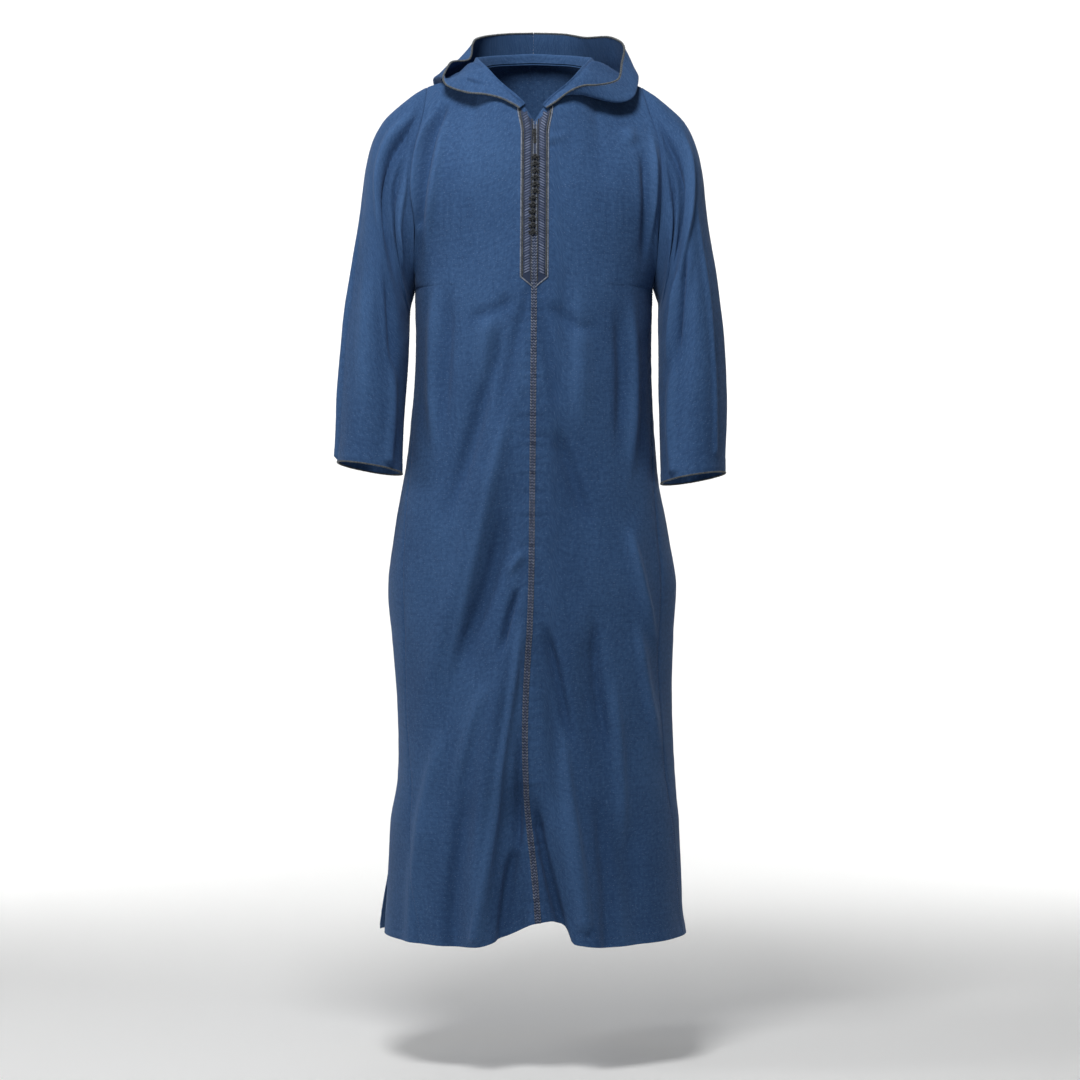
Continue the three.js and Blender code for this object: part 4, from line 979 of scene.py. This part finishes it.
def stitch_tree():
    """Lays one stitch on each point, along its path and on the cloth."""
    tree = bpy.data.node_groups.new("Stitch row", "GeometryNodeTree")
    face = tree.interface
    face.new_socket("Points", in_out="INPUT", socket_type="NodeSocketGeometry")
    sizes = {"Length": 0.004, "Width": 0.001, "Height": 0.001, "Tilt": 0.0, "Unevenness": 0.1}
    for name, value in sizes.items():
        socket = face.new_socket(name, in_out="INPUT", socket_type="NodeSocketFloat")
        socket.default_value = value
    face.new_socket("Seed", in_out="INPUT", socket_type="NodeSocketInt")
    face.new_socket("Thread", in_out="INPUT", socket_type="NodeSocketMaterial")
    face.new_socket("Stitches", in_out="OUTPUT", socket_type="NodeSocketGeometry")
    graph = Graph(tree)
    given = graph.add("NodeGroupInput")

    def vector(name):
        return graph.add(
            "GeometryNodeInputNamedAttribute", {"data_type": "FLOAT_VECTOR"}, {"Name": name}
        )["Attribute"]

    def chance(low, high, offset):
        return graph.add(
            "FunctionNodeRandomValue", None, {2: low, 3: high, "Seed": given["Seed"] + offset}
        )["Value"]

    ball = graph.add("GeometryNodeMeshUVSphere", None, {"Segments": 6, "Rings": 4, "Radius": 0.5})
    facing = graph.add(
        "FunctionNodeAxesToRotation",
        {"primary_axis": "Z", "secondary_axis": "X"},
        {"Primary Axis": vector("out"), "Secondary Axis": vector("along")},
    )["Rotation"]
    uneven = given["Unevenness"]
    sway = given["Tilt"] + uneven * chance(-1.0, 1.0, 0)
    turn = graph.add("ShaderNodeCombineXYZ", None, {"Z": sway})["Vector"]
    turn = graph.add("FunctionNodeEulerToRotation", None, {0: turn})["Rotation"]
    turned = graph.add(
        "FunctionNodeRotateRotation", {"rotation_space": "LOCAL"}, {0: facing, 1: turn}
    )["Rotation"]
    grow = uneven * chance(-1.0, 1.0, 1) + 1.0
    scale = graph.add(
        "ShaderNodeCombineXYZ",
        None,
        {0: given["Length"] * grow, 1: given["Width"] * grow, 2: given["Height"]},
    )["Vector"]
    laid = graph.add(
        "GeometryNodeInstanceOnPoints",
        None,
        {"Points": given["Points"], "Instance": ball["Mesh"], "Rotation": turned, "Scale": scale},
    )["Instances"]
    toned = graph.add(
        "GeometryNodeStoreNamedAttribute",
        {"data_type": "FLOAT", "domain": "INSTANCE"},
        {"Geometry": laid, "Name": "tone", "Value": chance(0.0, 1.0, 2)},
    )["Geometry"]
    real = graph.add("GeometryNodeRealizeInstances", None, {"Geometry": toned})["Geometry"]
    soft = graph.add("GeometryNodeSetShadeSmooth", None, {"Geometry": real})["Geometry"]
    done = graph.add(
        "GeometryNodeSetMaterial", None, {"Geometry": soft, "Material": given["Thread"]}
    )["Geometry"]
    graph.add("NodeGroupOutput", None, {"Stitches": done})
    return tree


STITCH_TREE = stitch_tree()
Row = namedtuple("Row", "points out along length width height tilt uneven thread")


def lay_stitches(row, seed):
    """One row of stitches as a plain mesh object."""
    points = new_object(
        "row", row.points, [], attributes={"out": row.out, "along": row.along}
    )
    modifier = points.modifiers.new("stitches", "NODES")
    modifier.node_group = STITCH_TREE
    values = {
        "Length": row.length * METRE,
        "Width": row.width * METRE,
        "Height": row.height * METRE,
        "Tilt": math.radians(row.tilt),
        "Unevenness": row.uneven,
        "Seed": seed,
        "Thread": row.thread,
    }
    for item in STITCH_TREE.interface.items_tree:
        if item.in_out == "INPUT" and item.name in values:
            modifier[item.identifier] = values[item.name]
    bpy.context.view_layer.update()
    evaluated = points.evaluated_get(bpy.context.evaluated_depsgraph_get())
    mesh = bpy.data.meshes.new_from_object(evaluated)
    bpy.data.objects.remove(points)
    thing = bpy.data.objects.new("stitches", mesh)
    bpy.context.scene.collection.objects.link(thing)
    return thing


def join(name, things):
    """Joins plain mesh objects into one, with its parts' materials kept."""
    bpy.ops.object.select_all(action="DESELECT")
    for thing in things:
        thing.select_set(True)
    bpy.context.view_layer.objects.active = things[0]
    bpy.ops.object.join()
    things[0].name = name
    things[0].data.name = name
    return things[0]


def evenly(points, normals, pitch):
    """Points a pitch apart along a line of points, each with its normal and direction."""
    step = np.linalg.norm(np.diff(points, axis=0), axis=1)
    run = np.concatenate([[0], np.cumsum(step)])
    at = np.arange(pitch / 2, run[-1], pitch)
    place = np.stack([np.interp(at, run, points[:, n]) for n in range(3)], 1)
    out = unit(np.stack([np.interp(at, run, normals[:, n]) for n in range(3)], 1))
    along = np.stack([np.interp(at, run, np.gradient(points[:, n])) for n in range(3)], 1)
    return place, out, unit(along)


def stitch_row(points, normals, pitch, length, width, height, tilt, thread, uneven=0.06, lift=0.0):
    place, out, along = evenly(points, normals, pitch)
    return Row(place + out * lift, out, along, length, width, height, tilt, uneven, thread)


def tube(name, points, normals, radius, material, sides=6, closed=False):
    """A round core along a line of points."""
    points = np.asarray(points)
    if closed:
        along = unit(np.roll(points, -1, 0) - np.roll(points, 1, 0))
    else:
        along = unit(np.gradient(points, axis=0))
    across = unit(np.cross(along, normals))
    up = np.cross(across, along)
    turn = np.arange(sides) * 2 * math.pi / sides
    ring = across[:, None] * np.cos(turn)[None, :, None] + up[:, None] * np.sin(turn)[None, :, None]
    places = (points[:, None] + radius * ring).reshape(-1, 3)
    count = len(points)
    faces = []
    for i in range(count if closed else count - 1):
        for k in range(sides):
            a, b = i * sides + k, i * sides + (k + 1) % sides
            c, d = (b + sides) % (count * sides), (a + sides) % (count * sides)
            faces.append((a, b, c, d))
    if not closed:
        faces.append(tuple(range(sides))[::-1])
        faces.append(tuple((count - 1) * sides + k for k in range(sides)))
    corner = places[np.array([f[:3] for f in faces])]
    if np.sum(corner[:, 0] * np.cross(corner[:, 1], corner[:, 2])) < 0:
        faces = [f[::-1] for f in faces]
    thing = new_object(name, places, faces, attributes={"tone": np.full(len(places), 0.35)})
    thing.data.shade_smooth()
    thing.data.materials.append(material)
    return thing


# ------------------------------------------------------------------ the panels

HEM_ROWS, LOWER_ROWS, UPPER_ROWS = 8, 292, 96
FRONT_COLUMNS, GORE_COLUMNS, BACK_COLUMNS = 78, 16, 56
BACK_VENT_SHARE = 0.4  # how much of the vent's opening the back's edge gives up
hem_share = HEM_TURN * 1.15 / (UNDERARM_Z - HEM_Z)
lower_levels = np.concatenate(
    [
        np.linspace(-1, -1 + hem_share, HEM_ROWS, endpoint=False),
        np.linspace(-1 + hem_share, 0, LOWER_ROWS, endpoint=False),
    ]
)
body_levels = np.concatenate([lower_levels, np.linspace(0, 1, UPPER_ROWS)])


def seam_gap(side, z):
    return np.degrees(GAP / 2 / sample(BODY, "z", side_name(side), z))


def vent_at(z):
    return VENT_OPEN * smooth(VENT_TOP_Z, HEM_Z, z)


def front_panel(side):
    level = body_levels[:, None]
    z = level_z(level)
    gap = seam_gap(side, z)
    edge = np.where(level < 0, seam_angle(side, "front", z) - gap, 90)
    angle = lerp(gap, edge, spread(FRONT_COLUMNS)[None, :])
    return cloth_wall(
        f"front_panel_{side_name(side)}", lambda a, b: body_surface(side, a, b), angle, level
    )


def gore_panel(side):
    level = lower_levels[:-1, None]
    z = level_z(level)
    gap = seam_gap(side, z)
    start = seam_angle(side, "front", z) + gap
    end = seam_angle(side, "back", z) - gap - vent_at(z)
    angle = lerp(start, end, spread(GORE_COLUMNS)[None, :])
    return cloth_wall(
        f"gore_panel_{side_name(side)}", lambda a, b: body_surface(side, a, b), angle, level
    )


def flare(side, point, level, share):
    """The back's corners stand out beside the vents."""
    out = VENT_FLARE[side_name(side)] * smooth(VENT_TOP_Z, HEM_Z, level_z(level))
    point[..., 0] += side * out * np.clip(1 - share, 0, 1) ** 4
    return point


def back_panel():
    level = body_levels[:, None]
    z = level_z(level)
    share = spread(BACK_COLUMNS)[None, :]
    halves = []
    for side in (RIGHT, LEFT):
        gap = seam_gap(side, z)
        below = seam_angle(side, "back", z) + gap + vent_at(z) * BACK_VENT_SHARE
        edge = np.where(level < 0, below, 90.01 + gap)
        angle = lerp(edge, 180, share)
        point, normal, height = body_surface(side, angle, np.broadcast_to(level, angle.shape))
        halves.append((flare(side, point, level, share), normal, height))
    right, left = halves
    whole = [
        np.concatenate([r, l[:, -2::-1]], axis=1) for r, l in zip(right, left)
    ]
    return cloth_wall("back_panel", lambda a, b: whole, None, None)


SLEEVE_AROUND = 128
SLEEVE_ALONG = 150
SLEEVE_LENGTH = 600


def sleeve_panel(side):
    t = np.concatenate([np.linspace(0, 0.97, SLEEVE_ALONG), np.linspace(0.972, 1, 9)])[:, None]
    turn = (180 + np.arange(SLEEVE_AROUND) * 360 / SLEEVE_AROUND)[None, :]
    return cloth_wall(
        f"sleeve_panel_{side_name(side)}",
        lambda a, b: sleeve_surface(side, a, b),
        turn,
        t,
        around=True,
        length=SLEEVE_LENGTH,
    )


def hood_panel(side):
    w = lerp(HOOD_START, 1, np.linspace(0, 1, 110))[:, None]
    k = np.linspace(0, 1, 84)[None, :]
    return cloth_wall(
        f"hood_panel_{side_name(side)}", lambda a, b: hood_surface(side, a, b), w, k
    )


panels = {}
for side in (RIGHT, LEFT):
    name = side_name(side)
    panels[f"front_{name}"] = front_panel(side)
    panels[f"side_gore_{name}"] = gore_panel(side)
    panels[f"sleeve_{name}"] = sleeve_panel(side)
    panels[f"hood_{name}"] = hood_panel(side)
panels["back"] = back_panel()
for node, panel in panels.items():
    panel.data.materials.append(cloth)

# ------------------------------------------------------------------ what lies on the front

TRIM_CENTRE = 1.8  # the trims' middle, from the centre seam
PLACKET_TOP = [(0, -63), (12.6, -44), (21, -35), (30, -28), (40, -20)]
FLARE_TOP_Z, FLARE_LOW_Z, FLARE_OUT = -36, -78, 6.0


def front_line(distance, z, lift):
    """Points and normals down the front, at a distance from the trims' middle."""
    distance, z = np.broadcast_arrays(np.asarray(distance, float), np.asarray(z, float))
    x = sample(CENTRE_FRONT, "z", "x", z) + TRIM_CENTRE + distance
    parts = []
    for side in (RIGHT, LEFT):
        angle, level, _ = place_on_body(side, "front", x, z)
        parts.append(body_surface(side, angle, level, lift))
    right_side = (x < sample(CENTRE_FRONT, "z", "x", z))[..., None]
    point = np.where(right_side, parts[0][0], parts[1][0])
    normal = np.where(right_side, parts[0][1], parts[1][1])
    return point, unit(normal)


def placket_line(side, distance, low_z, lift, step=1.2):
    """A line down one side of the opening, which flares with the V at its top."""
    top = np.interp(distance, *zip(*PLACKET_TOP))
    z = np.arange(top, low_z, -step)
    flare_out = FLARE_OUT * smooth(FLARE_LOW_Z, FLARE_TOP_Z, z) * smooth(2, 12, distance)
    return front_line(side * (distance + flare_out), z, lift)


BAND_EDGE = 21
BAND_END_Z = -304
BRAID_TOP_Z, BRAID_LOW_Z = -240, HEM_Z + 38


def end_line(side, lift):
    """The slanting end of the embroidery, from its outer corner in to the point."""
    distance = np.linspace(BAND_EDGE, 0, 26)
    return front_line(side * distance, np.linspace(BAND_END_Z, PLACKET_POINT_Z, 26), lift)


def cord_row(line, width, thread, pitch=None):
    """A twisted cord: slanting plies laid close along a line."""
    points, normals = line
    pitch = pitch or width * 0.9
    return stitch_row(points, normals, pitch, width * 1.9, width * 0.95, width, 32, thread, 0.03)


def strip(name, columns, material, thickness=0.6):
    """A flat closed strip through lines of points and normals."""
    points = np.stack([c[0] for c in columns], 1)
    normals = np.stack([c[1] for c in columns], 1)
    rows, wide = points.shape[:2]
    both = [(points + normals * way * thickness / 2).reshape(-1, 3) for way in (1, -1)]
    places = np.concatenate(both)
    faces = face_outward(places, wall_faces(rows, wide, False))
    thing = new_object(name, places, faces, attributes={"tone": np.full(len(places), 0.3)})
    thing.data.shade_smooth()
    thing.data.set_sharp_from_angle(angle=math.radians(60))
    thing.data.materials.append(material)
    return thing


ON_CLOTH = CLOTH / 2 + 0.25
ON_BAND = ON_CLOTH + 0.6
SATIN_INNER, SATIN_OUTER = 6.4, 16.6
SATIN_PITCH = 4.3
pieces = {}
seed = 100


def build(name, rows, extras=()):
    """One piece from its rows of stitches and its plain parts."""
    global seed
    things = list(extras)
    for row in rows:
        seed += 1
        things.append(lay_stitches(row, seed))
    pieces[name] = join(name, things)
    return pieces[name]


for side in (RIGHT, LEFT):
    name = side_name(side)
    columns = []
    for distance in np.linspace(4.6, 20.5, 6):
        low = lerp(PLACKET_POINT_Z + 3, BAND_END_Z - 1, distance / BAND_EDGE)
        top = np.interp(distance, *zip(*PLACKET_TOP)) - 1
        z = np.linspace(top, low, 150)
        out = FLARE_OUT * smooth(FLARE_LOW_Z, FLARE_TOP_Z, z) * smooth(2, 12, distance)
        columns.append(front_line(side * (distance + out), z, ON_CLOTH))
    backing = strip(f"backing_{name}", columns, navy)
    rows = []
    points, normals = placket_line(side, (SATIN_INNER + SATIN_OUTER) / 2, -300, ON_CLOTH + 0.5)
    satin = stitch_row(points, normals, SATIN_PITCH, 11.2, 2.3, 1.5, side * 62, lavender, 0.03)
    rows.append(satin)
    between = satin.points - satin.along * SATIN_PITCH / 2 - satin.out * 0.3
    rows.append(satin._replace(points=between, width=1.9, thread=navy))
    rows.append(cord_row(placket_line(side, BAND_EDGE, BAND_END_Z, ON_BAND), 1.9, silver))
    rows.append(cord_row(placket_line(side, 18.4, -303, ON_BAND), 1.9, olive))
    rows.append(cord_row(placket_line(side, 5.0, -312, ON_BAND), 1.5, charcoal))
    rows.append(cord_row(end_line(side, ON_BAND), 1.9, silver))
    build(f"placket_embroidery_{name}", rows, [backing])

z = np.arange(-64, -312, -2.0)
columns = [front_line(d, z, ON_CLOTH) for d in (-4.2, -2, 0, 2, 4.2)]
ground = strip("opening_ground", columns, navy)
rows = [
    cord_row(placket_line(side, 2.7, BRAID_TOP_Z, ON_BAND), 1.5, silver) for side in (RIGHT, LEFT)
]
top_knot = front_line(np.zeros(14), np.linspace(-72, -94, 14), ON_CLOTH + 1.6)
rows.append(stitch_row(*top_knot, 2.4, 2.2, 6.4, 3.4, 8, charcoal, 0.15))
build("placket_cords", rows, [ground])

# the braid: slanting plies of a plait on a dark ground
PLAIT_PITCH = 4.6
z = np.arange(BRAID_TOP_Z, BRAID_LOW_Z, -2.6)
columns = [front_line(d, z, ON_CLOTH + 0.2) for d in (-4.4, -2.2, 0, 2.2, 4.4)]
ground = strip("braid_ground", columns, navy, 0.9)
rows = []
PLIES = ((-3.3, 36, beige), (-1.1, -36, lavender), (1.1, 36, lavender), (3.3, -36, beige))
for distance, tilt, thread in PLIES:
    line = front_line(distance, np.arange(BRAID_TOP_Z, BRAID_LOW_Z, -1.5), ON_CLOTH + 1.0)
    ply = stitch_row(*line, PLAIT_PITCH, 4.3, 1.7, 1.3, tilt, thread, 0.08)
    rows.append(ply)
    between = ply.points + ply.along * PLAIT_PITCH / 2 - ply.out * 0.15
    rows.append(ply._replace(points=between, thread=navy))
build("front_plait", rows, [ground])

# ------------------------------------------------------------------ knotted buttons

KNOT_RADIUS, KNOT_CORD = 3.1, 1.05


def knot_mesh(points, normals):
    """A ball of knotted cord at each place."""
    s = np.linspace(0, 2 * math.pi, 61)[:-1]
    around, rise = 3 * s, np.radians(52) * np.sin(4 * s)
    reach = KNOT_RADIUS + 0.42 * np.sin(8 * s)
    flat = np.cos(rise)
    curve = np.stack([flat * np.cos(around), np.sin(rise), flat * np.sin(around)], 1)
    balls = []
    for n, (place, out) in enumerate(zip(points, normals)):
        turn = 0.7 * n
        c, d = math.cos(turn), math.sin(turn)
        local = (curve * reach[:, None]) @ np.array([[c, 0, d], [0, 1, 0], [-d, 0, c]])
        balls.append(tube("knot", local + place, unit(local), KNOT_CORD, charcoal, 6, closed=True))
    return balls


z = np.linspace(BUTTON_TOP_Z, BUTTON_LOW_Z, BUTTONS)
drift = np.where(z < (BUTTON_TOP_Z + BUTTON_LOW_Z) / 2, -2.4, 0.6)
knot_points, knot_normals = front_line(drift, z, ON_CLOTH + 3.4)
rows = []
for way in (-1, 1):
    points, normals = front_line(drift + way * 4.6, z, ON_CLOTH + 1.3)
    along = unit(np.gradient(points, axis=0))
    rows.append(Row(points, normals, along, 6.5, 1.9, 1.7, 90, 0.05, charcoal))
    points, normals = front_line(drift + way * 4.9, z - 3.4, ON_CLOTH + 1.1)
    rows.append(Row(points, normals, along, 5.5, 1.5, 1.5, 84, 0.05, olive))
build("knotted_buttons", rows, knot_mesh(knot_points, knot_normals))

# ------------------------------------------------------------------ edges and seams

RIM_MIDDLE = 1.4  # where each rim cord stops beside the centre back
SEAM_STITCH = {"pitch": 4.2, "length": 2.6, "width": 0.8, "height": 0.7, "tilt": 0}

for side in (RIGHT, LEFT):
    name = side_name(side)
    w = np.linspace(HOOD_START + 0.002, 0.999, 420)
    rim, out, _ = hood_surface(side, w, 1.0)
    inside, _, _ = hood_surface(side, w, 0.97)
    beyond = unit(rim - inside)
    rim = rim + beyond * 0.9
    rim[:, 0] = side * np.maximum(side * rim[:, 0], RIM_MIDDLE)
    core = tube("core", rim, out, 1.3, edging)
    wraps = stitch_row(rim, out, 2.1, 1.75, 3.9, 3.7, 18, edging, 0.06)
    hidden = stitch_row(rim - beyond * 1.9, out, 2.1, 3.4, 0.9, 1.9, 72, silver, 0.1)
    build(f"hood_whipping_{name}", [wraps, hidden], [core])

    turn = np.linspace(0, 360, 400, endpoint=False)
    edge, out, _ = sleeve_surface(side, turn, 0.9995)
    edge[:, 2] -= 0.8
    core = tube("core", edge, out, 1.2, edging, closed=True)
    ring = np.concatenate([edge, edge[:1]])
    ring_out = np.concatenate([out, out[:1]])
    wraps = stitch_row(ring, ring_out, 2.2, 1.8, 3.6, 3.4, 16, edging, 0.06)
    build(f"cuff_whipping_{name}", [wraps], [core])


def seam_line(side, name, offset, top=-0.002, low=-0.992, lift=0.0):
    """A line down a gore seam, offset in millimetres towards the front."""
    level = np.linspace(top, low, 700)
    z = level_z(level)
    arc = sample(BODY, "z", side_name(side), z) * math.pi / 180
    angle = seam_angle(side, name, z) - offset / arc
    point, normal, _ = body_surface(side, angle, level, CLOTH / 2 + lift)
    return point, normal


rows = []
for side in (RIGHT, LEFT):
    back_stop = (UNDERARM_Z - VENT_TOP_Z) / (HEM_Z - UNDERARM_Z)
    for line in (seam_line(side, "front", 4.2), seam_line(side, "back", -4.2, low=back_stop)):
        rows.append(stitch_row(*line, thread=blue_thread, uneven=0.1, lift=0.1, **SEAM_STITCH))
rungs = seam_line(LEFT, "front", 1.2)
rows.append(stitch_row(*rungs, 3.6, 4.6, 0.9, 0.8, 84, blue_thread, 0.12, 0.3))
for side in (RIGHT, LEFT):
    level = np.full(420, -1 + HEM_TURN / (UNDERARM_Z - HEM_Z))
    z = level_z(level)
    front = (3.5, seam_angle(side, "front", z) - 1)
    back = (seam_angle(side, "back", z) + VENT_OPEN, 180)
    for start, end in (front, back):
        angle = lerp(start, end, np.linspace(0, 1, 420))
        point, normal, _ = body_surface(side, angle, level, CLOTH / 2)
        rows.append(stitch_row(point, normal, 6.0, 2.2, 0.8, 0.6, 8, blue_thread, 0.15, 0.05))
build("seam_stitches", rows)

# ------------------------------------------------------------------ bodies, names and cloth

REPLACES = {
    "placket_embroidery_right": ("placket_band_right",),
    "placket_embroidery_left": ("placket_band_left",),
    "placket_cords": ("placket_strip",),
    "front_plait": ("front_braid",),
    "knotted_buttons": tuple(f"knot_button_{n:02d}" for n in range(1, BUTTONS + 1)),
    "hood_whipping_right": ("hood_edge_cord_right",),
    "hood_whipping_left": ("hood_edge_cord_left",),
    "cuff_whipping_right": ("cuff_cord_right",),
    "cuff_whipping_left": ("cuff_cord_left",),
    "seam_stitches": (),
}
for name, piece in pieces.items():
    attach(piece, "root")
    if REPLACES[name]:
        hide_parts(*REPLACES[name])

# The fields for a cut panel: width, length and area before it was sewn, in metres, and how it is
# held.
Cut = namedtuple("Cut", "width length area held pieces")
for node, panel in panels.items():
    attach(panel, "root")
    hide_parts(node)

# ------------------------------------------------------------------ floor, light and camera

FLOOR_Z = -1.54
FLOOR_REACH, FLOOR_HALF = 30.0, 25
BEND_START, BEND = 3.2, 1.6


def sweep():
    """A pale floor that rises in a smooth bend to a pale backdrop."""
    profile = [(-FLOOR_REACH, 0.0), (BEND_START, 0.0)]
    for a in np.radians(np.arange(6, 91, 6)):
        profile.append((BEND_START + BEND * math.sin(a), BEND * (1 - math.cos(a))))
    profile.append((BEND_START + BEND, 9.0))
    verts = [(x, y, FLOOR_Z + z) for y, z in profile for x in (-FLOOR_HALF, FLOOR_HALF)]
    faces = [(2 * n, 2 * n + 1, 2 * n + 3, 2 * n + 2) for n in range(len(profile) - 1)]
    mesh = bpy.data.meshes.new("floor")
    mesh.from_pydata(verts, [], faces)
    mesh.shade_smooth()
    floor = bpy.data.objects.new("floor", mesh)
    bpy.context.scene.collection.objects.link(floor)
    constants = {
        "Specular IOR Level": 0.1,
        "Base Color": rgb(0.86, 0.86, 0.85),
        "Roughness": 0.9,
        "Emission Color": rgb(1.0, 1.0, 1.0),
        "Emission Strength": 0.12,
    }
    mesh.materials.append(new_material("pale floor", constants)[0])
    return floor


sweep()

scene = bpy.context.scene
scene.view_settings.view_transform = "Standard"
world = bpy.data.worlds.new("studio")
scene.world = world
world.use_nodes = True
sky = Graph(world.node_tree)
soft_sky = sky.add("ShaderNodeBackground", None, {"Color": rgb(0.93, 0.95, 1.0), "Strength": 0.12})
pale_sky = sky.add("ShaderNodeBackground", None, {"Color": rgb(1.0, 1.0, 1.0), "Strength": 0.85})
seen = sky.add("ShaderNodeLightPath")["Is Camera Ray"]
both = sky.add(
    "ShaderNodeMixShader", None, {0: seen, 1: soft_sky["Background"], 2: pale_sky["Background"]}
)
world.node_tree.links.new(
    both["Shader"].socket, world.node_tree.nodes["World Output"].inputs["Surface"]
)


def area_light(name, place, aim, size, power):
    light = bpy.data.lights.new(name, "AREA")
    light.shape = "DISK"
    light.size = size
    light.energy = power
    lamp = bpy.data.objects.new(name, light)
    scene.collection.objects.link(lamp)
    lamp.location = place
    lamp.rotation_euler = (Vector(aim) - Vector(place)).to_track_quat("-Z", "Y").to_euler()


area_light("overhead", (-0.28, -1.3, 1.35), (0, 0, -0.3), 0.7, 43)
area_light("left", (-2.6, -0.7, 0.2), (0, 0, -0.5), 0.7, 16)
area_light("backdrop left", (-2.6, 2.0, 0.6), (-1.2, 5.0, 0.0), 1.6, 75)
area_light("backdrop right", (2.6, 2.0, 0.6), (1.2, 5.0, 0.0), 1.6, 75)

camera = bpy.data.objects.new("camera", bpy.data.cameras.new("camera"))
scene.collection.objects.link(camera)
camera.data.lens = 93.75
camera.data.sensor_width = 36
camera.location = (0.011, -4.5, -0.712)
camera.rotation_euler = (math.radians(90), 0, 0)
scene.camera = camera
